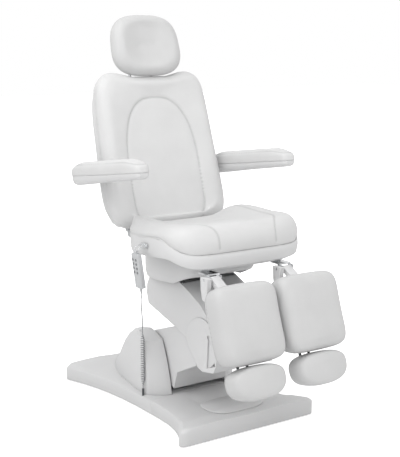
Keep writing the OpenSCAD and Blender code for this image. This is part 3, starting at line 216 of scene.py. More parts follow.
def rubber(place):
    """Dusty grey rubber with a fine matt grain."""
    dusty = place.noise(60, 3)
    return {"Base Color": dusty.tint((0.27, 0.275, 0.285), (0.36, 0.365, 0.375)),
            "Roughness": dusty * 0.15 + 0.5,
            "Normal": place.noise(1800).bump(0.0002, 0.4)}


rubber_finish = finish("lead_rubber", rubber)


def eased(keys, count):
    """A table's rows read at even steps along a smooth curve that passes through all of them."""
    keys = np.asarray(keys, float)
    at = np.linspace(0, len(keys) - 1, count)
    i = np.clip(at.astype(int), 0, len(keys) - 2)
    t = (at - i).reshape((-1,) + (1,) * (keys.ndim - 1))
    more = np.concatenate([2 * keys[:1] - keys[1:2], keys, 2 * keys[-1:] - keys[-2:-1]])
    a, b, c, d = (more[i + k] for k in range(4))
    return b + (c - a) * t / 2 + (a - 2.5 * b + 2 * c - d / 2) * t**2 + (1.5 * (b - c) + (d - a) / 2) * t**3


def flex(name, route, diameter, material):
    """A round cord along a route, as one open curve with a bevel."""
    data = bpy.data.curves.new(name, "CURVE")
    data.dimensions, data.bevel_depth, data.bevel_resolution = "3D", diameter / 2, 3
    data.use_fill_caps = True
    line = data.splines.new("POLY")
    line.points.add(len(route) - 1)
    line.points.foreach_set("co", np.c_[route, np.ones(len(route))].ravel())
    line.use_smooth = True
    data.materials.append(material)
    made = bpy.data.objects.new(name, data)
    scene.collection.objects.link(made)
    return made


def length_of(route):
    """A route's length, as the sum of its steps."""
    return float(np.linalg.norm(np.diff(route, axis=0), axis=1).sum())


# The curls: a helix whose radius grows from nothing over its first eighth and shrinks over its last
share = np.arange(CURL_STEPS * CURLS + 1) / (CURL_STEPS * CURLS)
swell = np.minimum(1, np.minimum(8 * share, 8 * (1 - share))) * (CURL_D - LEAD_D) / 2
turned = 2 * np.pi * CURLS * share
curls = GLAND_TOP + np.stack([swell * np.cos(turned), swell * np.sin(turned),
                              2 * LEAD_D + (COIL_RUN - 4 * LEAD_D) * share], 1)
up = np.array([0, 0, 1.0])
curl_route = np.concatenate([[GLAND_TOP, GLAND_TOP + up * LEAD_D], curls,
                             [GLAND_TOP + up * (COIL_RUN - LEAD_D), GLAND_TOP + up * COIL_RUN]])
lead_curls = flex("lead_curls", curl_route, LEAD_D, rubber_finish)
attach(lead_curls, "base")
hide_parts("handset_coil")
lead_route = eased(LEAD_ROUTE, 40)
lead_straight = flex("lead_straight", lead_route, LEAD_D, rubber_finish)
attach(lead_straight, "handset")
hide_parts("handset_lead")

# Covers: the shells of the base, arms, seat, back and armrests, moulded in light grey plastic with
# a fine spark-eroded grain and fixed over the steel. The leg rests' frames and levers have the same
# grey. All keep their CAD shape, with round edges.
COVER_NODES = ["base_cover_front", "base_cover_rear", "access_plate", "lower_arm_cover", "knee_cover",
               "upper_arm_cover", "belly_cover", "seat_shell", "back_shell", "arm_shell_left",
               "arm_shell_right", "release_lever_left", "release_lever_right", "leg_frame_left",
               "leg_frame_right"]


def moulded(place):
    """Cloudy light grey with a fine grain, a little darker near the floor."""
    cloudy = place.noise(7, 3)
    grain = place.noise(900, 2, 0.6)
    low = place.make("ShaderNodeSeparateXYZ", inputs={"Vector": place}, output=2).ramp(0.0, 0.16)
    tone = (cloudy * 0.25 + low * 0.75).tint((0.62, 0.62, 0.622), (0.68, 0.68, 0.683))
    return {"Base Color": tone, "Roughness": cloudy * 0.12 + 0.36, "Normal": grain.bump(0.0003, 0.3)}


cover_finish = finish("moulded_cover", moulded)
CREASE, MERGE_WITHIN, FLAT_WITHIN = np.radians(34), 2e-6, np.radians(0.8)
COVER_EDGE = 0.0014


def applied(obj):
    """The object's mesh with its modifiers' result in it."""
    graph = bpy.context.evaluated_depsgraph_get()
    mesh = bpy.data.meshes.new_from_object(obj.evaluated_get(graph))
    obj.modifiers.clear()
    obj.data = mesh


def softened(names, material, width, reshape=None, clamp=False):
    """Stands for CAD nodes with copies of them. Split corners are merged, and then reshape moves the
    corners or, without it, flat faces are joined. Edges sharper than CREASE are rounded by width
    metres, or by less where clamp keeps short edges whole, and the rest is shaded smooth."""
    for name in names:
        node = frame["nodes"][name]
        form = bmesh.new()
        form.from_mesh(node.data)
        bmesh.ops.remove_doubles(form, verts=form.verts, dist=MERGE_WITHIN)
        if not reshape:
            bmesh.ops.dissolve_limit(form, angle_limit=FLAT_WITHIN, verts=form.verts, edges=form.edges)
        mesh = bpy.data.meshes.new(f"{name}_form")
        form.to_mesh(mesh)
        form.free()
        if reshape:
            co = np.empty(len(mesh.vertices) * 3, np.float32)
            mesh.vertices.foreach_get("co", co)
            mesh.vertices.foreach_set("co", reshape(co.reshape(-1, 3)).astype(np.float32).ravel())
        mesh.polygons.foreach_set("use_smooth", np.ones(len(mesh.polygons), bool))
        mesh.materials.clear()
        mesh.materials.append(material)
        made = bpy.data.objects.new(f"{name}_form", mesh)
        scene.collection.objects.link(made)
        edges = made.modifiers.new("edges", "BEVEL")
        edges.width, edges.segments, edges.limit_method = width, 3, "ANGLE"
        edges.angle_limit, edges.harden_normals = CREASE, True
        edges.use_clamp_overlap = clamp
        applied(made)
        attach(made, node["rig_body"])
        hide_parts(name)


softened(COVER_NODES, cover_finish, COVER_EDGE)

# Humps over the lower pivot, one on each side, and the hood that joins them behind the lower arm.
# They are moulded like the other covers and stand on the base's deck. Behind the pivot they are
# rounder than their plain solids.
HUMP_NODES = ["hump_cover_left", "hump_cover_right", "pivot_hood"]
HUMP_PIVOT_Y, HUMP_FOOT, HUMP_H = -0.030, 0.066, 0.230
HUMP_HEIGHTS = [0, 0.08, 0.195, 0.38, 0.571, 0.74, 0.874, 0.955, 1]
HUMP_CAD_REACH = [1, 0.82, 0.66, 0.54, 0.44, 0.32, 0.2, 0.12, 0.07]
HUMP_REACH = [1, 0.955, 0.9, 0.83, 0.745, 0.64, 0.51, 0.36, 0.2]


def bulged(co):
    """Behind the pivot, a point's distance from it grows by the ratio of the two reaches, which are
    shares of the hump's length, read at the share of the hump's height where the point is."""
    up = (co[:, 2] - HUMP_FOOT) / HUMP_H
    grow = np.interp(up, HUMP_HEIGHTS, HUMP_REACH) / np.interp(up, HUMP_HEIGHTS, HUMP_CAD_REACH)
    moved_back = np.maximum(co[:, 1] - HUMP_PIVOT_Y, 0) * (grow - 1)
    return co + moved_back[:, None] * np.array([0, 1, 0])


softened(HUMP_NODES, cover_finish, COVER_EDGE, bulged)

# Steel frames, arms and tie rods: bar, plate and tube, cut and welded, of which the arms turn on the
# pivots' shafts. They are powder coated light grey, and the coat has a slight orange peel.
STEEL_NODES = ["base_frame", "pivot_fork", "lower_arm_frame", "upper_arm_frame", "lower_tie_rods",
               "upper_tie_rods", "knee_link", "carriage_frame", "seat_frame", "back_frame"]
STEEL_EDGE, BRACKET_EDGE = 0.0008, 0.0003


def powder_coat(place):
    """Grey paint that is a little worn, with the coat's waves."""
    worn = place.noise(14, 4, 0.65)
    return {"Base Color": worn.tint((0.46, 0.47, 0.48), (0.58, 0.59, 0.60)),
            "Roughness": worn * 0.15 + 0.38,
            "Normal": place.noise(420, 3).bump(0.0004, 0.35)}


steel_finish = finish("powder_coat", powder_coat, Metallic=0.25)
softened(STEEL_NODES, steel_finish, STEEL_EDGE)
softened(["headrest_bracket"], steel_finish, BRACKET_EDGE, clamp=True)

# Bright parts: the pivots' shafts, the headrest's bars, the leg rests' hinges and the handset's wire
# hook. They are steel, ground or bent to shape, and plated.
BRIGHT_NODES = ["lower_pivot_shaft", "upper_pivot_shaft", "headrest_bars", "leg_hinge_left",
                "leg_hinge_right", "handset_holder"]
BRIGHT_EDGE = 0.0005


def plated(place):
    """Bright metal, rubbed duller in places."""
    rubbed = place.noise(240, 5, 0.7)
    return {"Base Color": rubbed.tint((0.66, 0.67, 0.68), (0.80, 0.81, 0.82)),
            "Roughness": rubbed * 0.14 + 0.14,
            "Normal": place.noise(900, 2).bump(0.0001, 0.25)}


softened(BRIGHT_NODES, finish("plated_steel", plated, Metallic=1.0), BRIGHT_EDGE)

# Dark parts: the levelling feet, the mains inlet and the cord's gland, moulded in black plastic and
# set into the base. The foot pads' rails, which slide in the leg rests' frames, are as dark.
DARK_NODES = ["levelling_feet", "mains_inlet", "cord_gland", "foot_rail_left", "foot_rail_right"]
DARK_EDGE = 0.0006


def dark_moulded(place):
    """Near black with pale dust and a grain."""
    dusty = place.noise(40, 4, 0.6)
    return {"Base Color": dusty.tint((0.045, 0.048, 0.052), (0.10, 0.105, 0.11)),
            "Roughness": dusty * 0.2 + 0.45,
            "Normal": place.noise(800, 2).bump(0.0003, 0.4)}


softened(DARK_NODES, finish("dark_moulded", dark_moulded), DARK_EDGE)

# Handset: a slim case moulded in grey plastic, which hangs on the hook at the seat's side. Its keys,
# two columns of four, are soft rubber and press into it.
CASE_EDGE, KEY_EDGE, KEYS = 0.0008, 0.0006, 8


def handset_grey(place):
    """Cloudy mid grey with a fine grain."""
    cloudy = place.noise(40, 3)
    return {"Base Color": cloudy.tint((0.50, 0.51, 0.52), (0.58, 0.59, 0.60)),
            "Roughness": cloudy * 0.1 + 0.42,
            "Normal": place.noise(1500, 2).bump(0.0002, 0.3)}


def key_rubber(place):
    """Dark grey rubber with a little dust."""
    dusty = place.noise(300, 2)
    return {"Base Color": dusty.tint((0.20, 0.205, 0.215), (0.27, 0.275, 0.285)),
            "Roughness": dusty * 0.2 + 0.55,
            "Normal": place.noise(2500, 2).bump(0.0001, 0.4)}


softened(["handset_body"], finish("handset_grey", handset_grey), CASE_EDGE)
softened([f"handset_key_{i + 1}" for i in range(KEYS)], finish("key_rubber", key_rubber), KEY_EDGE)


# Cushions: foam under white synthetic leather, drawn tight over the foam and sewn at its edges.
# Each is a skin over rings, remeshed evenly, blown up as cloth with its underside held, then sewn.
STUFFING, CLOTH_STEPS, EVEN_ROUNDS = 3.0, 12, 24
TUBE_SIDES, PATH_STEP, PATH_LEAST = 10, 0.004, 24
THREAD_PITCH, STITCH_L, STITCH_D, STITCH_SIDES = 0.0065, 0.0042, 0.0008, 6
TOUCH = 0.0001


def smooth(t):
    """0 below 0, 1 above 1, and 3 t^2 - 2 t^3 between."""
    t = np.clip(t, 0, 1)
    return t * t * (3 - 2 * t)


def mix(a, b, t):
    """a at t = 0, b at t = 1, and in a straight line between."""
    return a + (b - a) * t


def rounded(w, h, power, count):
    """Points of a rounded outline, anticlockwise: x and y go as a power of the cosine and sine, and
    the outline gets squarer as power grows."""
    a = 2 * np.pi * (np.arange(count) + 0.5) / count
    c, s = np.cos(a), np.sin(a)
    return np.stack([w / 2 * np.sign(c) * np.abs(c) ** (2 / power),
                     h / 2 * np.sign(s) * np.abs(s) ** (2 / power)], 1)


def level(outline, z):
    """An outline's points at height z, which may differ from point to point."""
    return np.c_[outline, np.broadcast_to(z, len(outline))]


def moved(x, y, z):
    """A frame whose origin is moved by x, y and z."""
    made = np.eye(4)
    made[:3, 3] = x, y, z
    return made


def turned_x(degrees):
    """A frame turned about the X axis."""
    made = np.eye(4)
    c, s = np.cos(np.radians(degrees)), np.sin(np.radians(degrees))
    made[1:3, 1:3] = [[c, -s], [s, c]]
    return made


def placed(points, at):
    """The points of the frame at, in the chair's frame."""
    return points @ at[:3, :3].T + at[:3, 3]


def mesh_object(name, points, faces, material):
    """A smooth-shaded object of these points and faces."""
    mesh = bpy.data.meshes.new(name)
    mesh.from_pydata(points.tolist(), [], faces)
    mesh.polygons.foreach_set("use_smooth", np.ones(len(mesh.polygons), bool))
    mesh.materials.append(material)
    made = bpy.data.objects.new(name, mesh)
    scene.collection.objects.link(made)
    return made


def skin(name, rings, material):
    """A closed skin over rings that run anticlockwise seen from the last: quads join neighbouring
    rings, and a fan to its middle shuts each end ring."""
    rings = np.asarray(rings, float)
    m, n = rings.shape[:2]
    i, j = np.meshgrid(np.arange(m - 1) * n, np.arange(n), indexing="ij")
    k = (j + 1) % n
    walls = np.stack([i + j, i + k, i + n + k, i + n + j], -1).reshape(-1, 4)
    j, k = np.arange(n), (np.arange(n) + 1) % n
    first = np.stack([np.full(n, m * n), k, j], 1)
    last = np.stack([np.full(n, m * n + 1), (m - 1) * n + j, (m - 1) * n + k], 1)
    points = np.concatenate([rings.reshape(-1, 3), rings[:1].mean(1), rings[-1:].mean(1)])
    return mesh_object(name, points, walls.tolist() + first.tolist() + last.tolist(), material)


def corners(obj):
    """The places of an object's vertices, one in a row."""
    co = np.empty(len(obj.data.vertices) * 3, np.float32)
    obj.data.vertices.foreach_get("co", co)
    return co.reshape(-1, 3).astype(float)


def set_corners(obj, co):
    """Moves an object's vertices to these places."""
    obj.data.vertices.foreach_set("co", co.astype(np.float32).ravel())
    obj.data.update()


def evened(obj, drift, free):
    """Averages a field over the mesh's edges, times free, so that the foam's push stays and the
    small wrinkles go."""
    count = len(drift)
    ends = np.empty(len(obj.data.edges) * 2, np.int32)
    obj.data.edges.foreach_get("vertices", ends)
    a, b = ends.reshape(-1, 2).T
    near = np.bincount(a, minlength=count) + np.bincount(b, minlength=count)
    for _ in range(EVEN_ROUNDS):
        around = np.stack([np.bincount(a, drift[b, k], count) + np.bincount(b, drift[a, k], count)
                           for k in range(3)], 1)
        drift = free[:, None] * (drift + around / near[:, None]) / 2
    return drift


def stuffed(obj, at, held_below, voxel, cap):
    """Swells a closed skin as a stuffed cover does. The points lower than held_below in the frame
    at stay. A drift d becomes cap * tanh(d / cap), so no point moves further than cap."""
    remesh = obj.modifiers.new("even", "REMESH")
    remesh.mode, remesh.voxel_size, remesh.use_smooth_shade = "VOXEL", voxel, True
    applied(obj)
    start = corners(obj)
    held = placed(start, np.linalg.inv(at))[:, 2] < held_below
    kept = obj.vertex_groups.new(name="kept")
    kept.add(np.flatnonzero(held).tolist(), 1.0, "REPLACE")
    cloth = obj.modifiers.new("stuffing", "CLOTH")
    cloth.settings.use_pressure = True
    cloth.settings.uniform_pressure_force = STUFFING
    cloth.settings.vertex_group_mass = "kept"
    cloth.settings.effector_weights.gravity = 0
    cloth.settings.bending_stiffness = 4
    cloth.settings.quality = 4
    for step in range(1, CLOTH_STEPS + 1):
        scene.frame_set(step)
    applied(obj)
    scene.frame_set(1)
    drift = evened(obj, corners(obj) - start, 1.0 - held)
    far = np.maximum(np.linalg.norm(drift, axis=1, keepdims=True), 1e-9)
    set_corners(obj, start + drift * cap * np.tanh(far / cap) / far)
    finer = obj.modifiers.new("finer", "SUBSURF")
    finer.levels = finer.render_levels = 1
    applied(obj)


def sewn(obj, paths, width, depth):
    """Pulls the cover in along its seams: a point at distance d from the nearest of the paths sinks by depth
    * exp(-(d / width)^2). An attribute holds the same share, with which the material paints shade into the
    seams' grooves."""
    co = corners(obj)
    near = np.full(len(co), 1e9)
    for path in paths:
        for point in path:
            near = np.minimum(near, ((co - point) ** 2).sum(1))
    pulled = np.exp(-near / width**2)
    normals = np.empty(len(co) * 3, np.float32)
    obj.data.vertex_normals.foreach_get("vector", normals)
    set_corners(obj, co - normals.reshape(-1, 3) * (depth * pulled)[:, None])
    # The share, kept as an attribute, from which the material paints shade into the seams' grooves
    seam = obj.data.attributes.new("seam", "FLOAT", "POINT")
    seam.data.foreach_set("value", pulled.astype(np.float32))


def on_surface(obj, path, count):
    """A path laid on an object: read at count even steps, each taken to the nearest point of it."""
    tree = BVHTree.FromObject(obj, bpy.context.evaluated_depsgraph_get())
    return np.array([tree.find_nearest(Vector(p))[0] for p in eased(path, count)])


def tube(name, path, diameter, material):
    """A round cord along a closed path: round each of its points p, the circle p + r * (u * cos(a)
    - v * sin(a)), with u level and square to the path's direction and v square to both."""
    along = np.roll(path, -1, 0) - np.roll(path, 1, 0)
    along /= np.linalg.norm(along, axis=1, keepdims=True)
    u = np.cross(along, [0, 0, 1.0])
    u /= np.linalg.norm(u, axis=1, keepdims=True)
    v = np.cross(u, along)
    a = 2 * np.pi * np.arange(TUBE_SIDES) / TUBE_SIDES
    rings = (path[:, None] + diameter / 2 * (u[:, None] * np.cos(a)[None, :, None]
                                             - v[:, None] * np.sin(a)[None, :, None]))
    i, j = np.meshgrid(np.arange(len(path)), np.arange(TUBE_SIDES), indexing="ij")
    here, after, k = i * TUBE_SIDES, (i + 1) % len(path) * TUBE_SIDES, (j + 1) % TUBE_SIDES
    faces = np.stack([here + j, after + j, after + k, here + k], -1).reshape(-1, 4)
    return mesh_object(name, rings.reshape(-1, 3), faces.tolist(), material)


def stitched(name, paths, material):
    """Thread along seams: every THREAD_PITCH a slim ellipsoid lies along the path, its rings at
    x = STITCH_L / 2 * -cos(b) with the radius STITCH_D / 2 * sin(b)."""
    middles, ways = [], []
    for path in paths:
        run = np.concatenate([[0], np.cumsum(np.linalg.norm(np.diff(path, axis=0), axis=1))])
        at = np.arange(THREAD_PITCH, run[-1] - THREAD_PITCH / 2, THREAD_PITCH)
        here, ahead, behind = (np.stack([np.interp(d, run, path[:, k]) for k in range(3)], 1)
                               for d in (at, at + STITCH_L / 4, at - STITCH_L / 4))
        middles.append(here)
        ways.append(ahead - behind)
    middles, ways = np.concatenate(middles), np.concatenate(ways)
    ways /= np.linalg.norm(ways, axis=1, keepdims=True)
    u = np.cross(ways, [0.31, 0.43, 0.85])
    u /= np.linalg.norm(u, axis=1, keepdims=True)
    v = np.cross(ways, u)
    n = STITCH_SIDES
    b, a = np.pi * np.array([0.06, 0.3, 0.7, 0.94]), 2 * np.pi * np.arange(n) / n
    long = -np.cos(b)[:, None] * STITCH_L / 2 * np.ones(n)
    across_u = np.sin(b)[:, None] * STITCH_D / 2 * np.cos(a)
    across_v = np.sin(b)[:, None] * STITCH_D / 2 * np.sin(a)
    points = middles[:, None, None] + (long[None, :, :, None] * ways[:, None, None]
        + across_u[None, :, :, None] * u[:, None, None] + across_v[None, :, :, None] * v[:, None, None])
    i, j = np.meshgrid(np.arange(3) * n, np.arange(n), indexing="ij")
    k = (j + 1) % n
    walls = np.stack([i + j, i + k, i + n + k, i + n + j], -1).reshape(-1, 4)
    # Two quads shut each six-sided end
    first = np.array([[3, 2, 1, 0], [5, 4, 3, 0]])
    one = np.concatenate([walls, first, first[:, ::-1] + 3 * n])
    faces = (np.arange(len(middles))[:, None, None] * 4 * n + one).reshape(-1, 4)
    return mesh_object(name, points.reshape(-1, 3), faces.tolist(), material)


def thread_paint(place):
    """Pale grey twisted thread."""
    twist = place.noise(2600, 2)
    return {"Base Color": twist.tint((0.60, 0.60, 0.60), (0.74, 0.74, 0.74)),
            "Roughness": twist * 0.2 + 0.55,
            "Normal": twist.bump(0.0001, 0.5)}


thread = finish("thread", thread_paint)


def upholstered(obj, name, body, paths, width, depth):
    """Sews a stuffed cover along paths near its surface, and lays the thread in the seams."""
    counts = [max(PATH_LEAST, int(length_of(path) / PATH_STEP)) for path in paths]
    sewn(obj, [on_surface(obj, path, count) for path, count in zip(paths, counts)], width, depth)
    made = stitched(name, [on_surface(obj, path, count) for path, count in zip(paths, counts)], thread)
    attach(made, body)


def cushioned(obj, body, node):
    """Stands for a CAD pad with its finished cover."""
    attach(obj, body)
    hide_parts(node)


def round_path(ring):
    """Every fourth point of a ring, as a path that comes back to its start. The ring's count is a
    multiple of four."""
    return np.concatenate([ring, ring[:1]])[::4]


def leather(place, dark=(0.47, 0.47, 0.47), light=(0.69, 0.69, 0.69)):
    """White leather with small pebbles and creases. Shade is painted into the seams' grooves: the colour is
    darker where the attribute that sewn leaves is high.
    """
    seam = place.make("ShaderNodeAttribute", {"attribute_name": "seam"}, output=2)
    pebble = place.make("ShaderNodeTexVoronoi", {"feature": "SMOOTH_F1"},
                        {"Vector": place, "Scale": 620.0, "Smoothness": 0.6})
    cloudy = place.noise(11, 3)
    crease = place.noise(95, 4, 0.6)
    # Painted shade: the colour darkens along the seams, where their grooves would be in shade
    tone = (cloudy * 0.35 + (1 - seam) * 0.65).tint(dark, light)
    return {"Base Color": tone, "Roughness": cloudy * 0.1 + crease * 0.08 + 0.38,
            "Normal": (pebble * 0.7 + crease * 0.5).bump(0.0005, 0.35)}


def shaded_pad_leather(place):
    """The same white leather a little darker, as painted shade, for the head, calf and foot pads."""
    return leather(place, (0.42, 0.42, 0.42), (0.61, 0.61, 0.61))


pad_finish = finish("synthetic_leather", leather)
# The head, calf and foot pads' copy of the leather is darker: painted shade
shaded_pad_finish = finish("synthetic_leather_shaded", shaded_pad_leather)

# Seat cushion: thick foam with side bolsters, dished in the middle, which lies in the shell's rim.
# Its leather is sewn along the bolsters, with a welt where it meets the rim.
SEAT_W, SEAT_L, SEAT_PAD_H, SEAT_POWER, SEAT_COUNT = 0.590, 0.470, 0.106, 4.2, 176
SEAT_REAR_Y = 0.005
SEAT_MID_Y = SEAT_REAR_Y - SEAT_L / 2
SEAT_PIVOT, SEAT_TILT = (0, 0.030, 0.632), 5
WING_H, PAN_H, PAN_SHARE, NECK_SHARE, SEAM_GAP = 0.064, 0.036, 0.86, 0.925, 0.0013
WELT_SHARE, WELT_D = 0.99, 0.0046
on_seat = moved(*SEAT_PIVOT) @ turned_x(-SEAT_TILT)


def seat_outline(share):
    """The seat's outline, drawn in as share falls. It is up to a tenth narrower at the back."""
    p = rounded(SEAT_W * share, SEAT_L * share, SEAT_POWER, SEAT_COUNT)
    return np.stack([p[:, 0] * (1 - 0.1 * smooth(p[:, 1] * 2 / SEAT_L)), p[:, 1] + SEAT_MID_Y], 1)


# The rim's height at each point of the outline: full at the sides, and none at the front and in the
# middle of the back
seat_edge = seat_outline(1)
seat_rims = (WING_H * smooth(3.2 * (seat_edge[:, 1] - SEAT_MID_Y) / SEAT_L + 1.6)
             * smooth(6 * np.abs(seat_edge[:, 0]) / SEAT_W - 1.4))


def seat_ring(share, high):
    """A ring of the cushion: its height goes from the rim to the crown, with bolsters at the
    sides and a hollow towards the back."""
    p = seat_outline(share)
    wide, deep = np.abs(2 * p[:, 0] / SEAT_W), (p[:, 1] - SEAT_MID_Y) / SEAT_L
    dip = smooth((high - 0.7) / 0.2) * (0.1 * wide**3 * smooth(0.9 - 1.2 * deep)
                                        + 0.34 * smooth(2.2 * wide - 0.9) * smooth(0.3 + 1.5 * deep)
                                        - 0.16 * (1 - wide**2) * smooth(0.75 + 1.6 * deep))
    return level(p, mix(seat_rims + SEAM_GAP / 2, SEAT_PAD_H, high) + SEAT_PAD_H * dip)


seat_shares = eased([[0.985, 0], [1, 0.22], [0.995, 0.48], [0.96, 0.76], [0.88, 0.93], [0.7, 0.955],
                     [0.5, 0.955], [0.25, 0.95], [0.1, 0.95]], 36)
seat_cover = skin("seat_cushion_cover", placed(np.array(
    [level(seat_outline(PAN_SHARE * 0.6), PAN_H), level(seat_outline(PAN_SHARE), PAN_H),
     level(seat_outline(NECK_SHARE), SEAM_GAP),
     level(seat_outline(NECK_SHARE), np.maximum(seat_rims, 2 * SEAM_GAP))]
    + [seat_ring(*s) for s in seat_shares]), on_seat), pad_finish)
stuffed(seat_cover, on_seat, SEAT_PAD_H * 0.25, voxel=0.006, cap=0.006)
SEAT_SEAM = [[0.125, -0.463, 0.022], [0.127, -0.464, 0.070], [0.142, -0.440, 0.104], [0.178, -0.375, 0.115],
             [0.205, -0.280, 0.120], [0.218, -0.160, 0.120], [0.222, -0.040, 0.120]]
seat_seams = [placed(np.array(SEAT_SEAM) * [side, 1, 1], on_seat) for side in (-1, 1)]
upholstered(seat_cover, "seat_thread", "seat", seat_seams, width=0.004, depth=0.0018)
welt_path = placed(level(seat_outline(WELT_SHARE), seat_rims + SEAM_GAP), on_seat)
seat_welt = tube("seat_welt", welt_path, WELT_D, pad_finish)
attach(seat_welt, "seat")
cushioned(seat_cover, "seat", "seat_cushion")

# Back cushion: tall and slightly tapered, hollowed at the top for the headrest, with a long
# rounded panel sewn into its middle between two side bolsters.
BACK_W, BACK_H, BACK_PAD_H, BACK_POWER, BACK_COUNT = 0.546, 0.624, 0.078, 7.5, 192
BACK_PIVOT, BACK_LEAN = (0, 0.050, 0.700), 16.5
BACK_FRAME_T, SOFT_GAP = 0.024, 0.0003
PANEL_W_SHARE, PANEL_MID_SHARE, PANEL_UP_SHARE, PANEL_DOWN_SHARE = 0.6, 0.33, 0.49, 0.31
on_back = moved(*BACK_PIVOT) @ turned_x(-BACK_LEAN)
on_back_pad = on_back @ moved(0, BACK_PAD_H, 0) @ turned_x(90)


def back_outline(share):
    """The back's outline, drawn in evenly as share falls. It narrows upwards and dips for the head."""
    p = rounded(BACK_W * share, BACK_H - BACK_W * (1 - share), BACK_POWER, BACK_COUNT)
    up_share = p[:, 1] / BACK_H + 0.5
    return np.stack([p[:, 0] * (1 - 0.1 * np.maximum(0, up_share) ** 1.3),
                     p[:, 1] + BACK_H / 2 - 0.04 * BACK_H * smooth(6 * up_share - 5)
                     * smooth(1.3 - 3.4 * np.abs(p[:, 0]) / BACK_W)], 1)


def panel_outline(share):
    """The sewn panel's outline: round at the top and square at the bottom."""
    a = 2 * np.pi * (np.arange(BACK_COUNT) + 0.5) / BACK_COUNT
    c, s = np.cos(a), np.sin(a)
    power = np.where(s > 0, 2.6, 6)
    reach = np.where(s > 0, PANEL_UP_SHARE, PANEL_DOWN_SHARE)
    return np.stack([share * BACK_W / 2 * PANEL_W_SHARE * np.sign(c) * np.abs(c) ** (2 / power),
                     BACK_H * (PANEL_MID_SHARE + share * reach * np.sign(s) * np.abs(s) ** (2 / power))], 1)


back_rings = ([level(back_outline(s[0]), BACK_PAD_H * s[1]) for s in
               [[0.6, 0], [0.95, 0], [0.965, 0.2], [1, 0.48], [0.99, 0.7], [0.94, 0.9], [0.84, 1]]]
              + [level(panel_outline(s[0]), BACK_PAD_H * s[1]) for s in
                 [[1.06, 0.86], [1, 0.78], [0.93, 0.80], [0.6, 0.78], [0.25, 0.77]]])
back_cover = skin("back_cushion_cover", placed(eased(np.array(back_rings), 50), on_back_pad), pad_finish)
stuffed(back_cover, on_back_pad, BACK_PAD_H * 0.12, voxel=0.006, cap=0.004)
panel_seam = placed(level(panel_outline(1), BACK_PAD_H * 0.8), on_back_pad)
edge_seam = placed(level(back_outline(0.985), BACK_PAD_H * 0.3), on_back_pad)
upholstered(back_cover, "back_thread", "back", [round_path(panel_seam), round_path(edge_seam)],
            width=0.004, depth=0.0016)
cushioned(back_cover, "back", "back_cushion")

# Head pad: broad, soft-cornered foam with a hollow for the head, in the white leather painted a little darker
# as shade, sewn round its side and fixed to the bracket's plate behind it.
HEAD_W, HEAD_H, HEAD_T, HEAD_POWER, HEAD_COUNT = 0.306, 0.248, 0.084, 3, 96
HEAD_PIVOT_D, HEAD_PLATE_T, HEAD_UP = 0.012, 0.004, 0.725
BACK_MID = BACK_PAD_H + BACK_FRAME_T / 2 + SOFT_GAP
on_head = on_back @ moved(0, BACK_MID, HEAD_UP)
on_head_pad = on_head @ moved(0, -2 * HEAD_PIVOT_D - HEAD_PLATE_T - TOUCH, 0) @ turned_x(90)


def head_ring(share, high, dished):
    """A ring of the head pad. It narrows upwards, and dished is the share of the hollow in it."""
    p = rounded(HEAD_W * share, HEAD_H - HEAD_W * (1 - share), HEAD_POWER, HEAD_COUNT)
    p[:, 0] *= 1 - 0.1 * p[:, 1] / HEAD_H
    hollow = 0.22 * (1 - np.minimum(1, np.hypot(2.4 * p[:, 0] / HEAD_W, 1.6 * p[:, 1] / HEAD_H)) ** 2)
    return level(p, HEAD_T * (high - dished * hollow))


head_shares = eased([[0.3, 0, 0], [0.6, 0, 0], [0.86, 0.1, 0], [0.97, 0.3, 0], [1, 0.55, 0], [0.95, 0.8, 0],
                     [0.84, 0.95, 0.3], [0.66, 1, 1], [0.42, 0.97, 1], [0.2, 0.92, 1]], 30)
head_cover = skin("head_pad_cover", placed(np.array([head_ring(*s) for s in head_shares]), on_head_pad),
                  shaded_pad_finish)
stuffed(head_cover, on_head_pad, HEAD_T * 0.08, voxel=0.004, cap=0.003)
upholstered(head_cover, "head_thread", "head", [round_path(placed(head_ring(0.97, 0.3, 0), on_head_pad))],
            width=0.0035, depth=0.0014)
cushioned(head_cover, "head", "headrest_pad")

# Armrest pads: long, round-edged foam, lower at both ends, in the white leather. They are sewn
# round the top and lie on the moulded shells.
REST_W, REST_L, REST_PAD_H, REST_POWER, REST_COUNT = 0.088, 0.515, 0.050, 4, 96
REST_X, REST_UP, REST_REAR, REST_BED_H, REST_SLOPE, REST_NOSE = 0.328, 0.221, 0.054, 0.012, 7.4, 0.4
for side, word in ((-1, "left"), (1, "right")):
    on_rest = (on_back @ moved(0, BACK_MID, REST_UP) @ moved(side * REST_X, 0, 0)
               @ turned_x(BACK_LEAN - REST_SLOPE) @ moved(0, REST_REAR - REST_L / 2, REST_BED_H))
    rest_rings = []
    for s in eased([[0.5, 0], [0.97, 0], [1, 0.25], [0.985, 0.55], [0.92, 0.78], [0.76, 0.94], [0.5, 1.01],
                    [0.25, 1.02]], 26):
        p = rounded(REST_W * s[0], REST_L - REST_W * (1 - s[0]), REST_POWER, REST_COUNT)
        nose = smooth((2 * np.abs(p[:, 1]) / REST_L - 0.6) / 0.5)
        rest_rings.append(level(p, REST_PAD_H * s[1] * (1 - REST_NOSE * nose)))
    rest_cover = skin(f"arm_pad_cover_{word}", placed(np.array(rest_rings), on_rest), pad_finish)
    stuffed(rest_cover, on_rest, REST_PAD_H * 0.1, voxel=0.004, cap=0.002)
    rest_seam = placed(level(rounded(REST_W * 0.93, REST_L - REST_W * 0.07, REST_POWER, REST_COUNT),
                             REST_PAD_H * 0.85), on_rest)
    upholstered(rest_cover, f"arm_thread_{word}", f"armrest_{word}", [round_path(rest_seam)],
                width=0.003, depth=0.0012)
    cushioned(rest_cover, f"armrest_{word}", f"arm_pad_{word}")
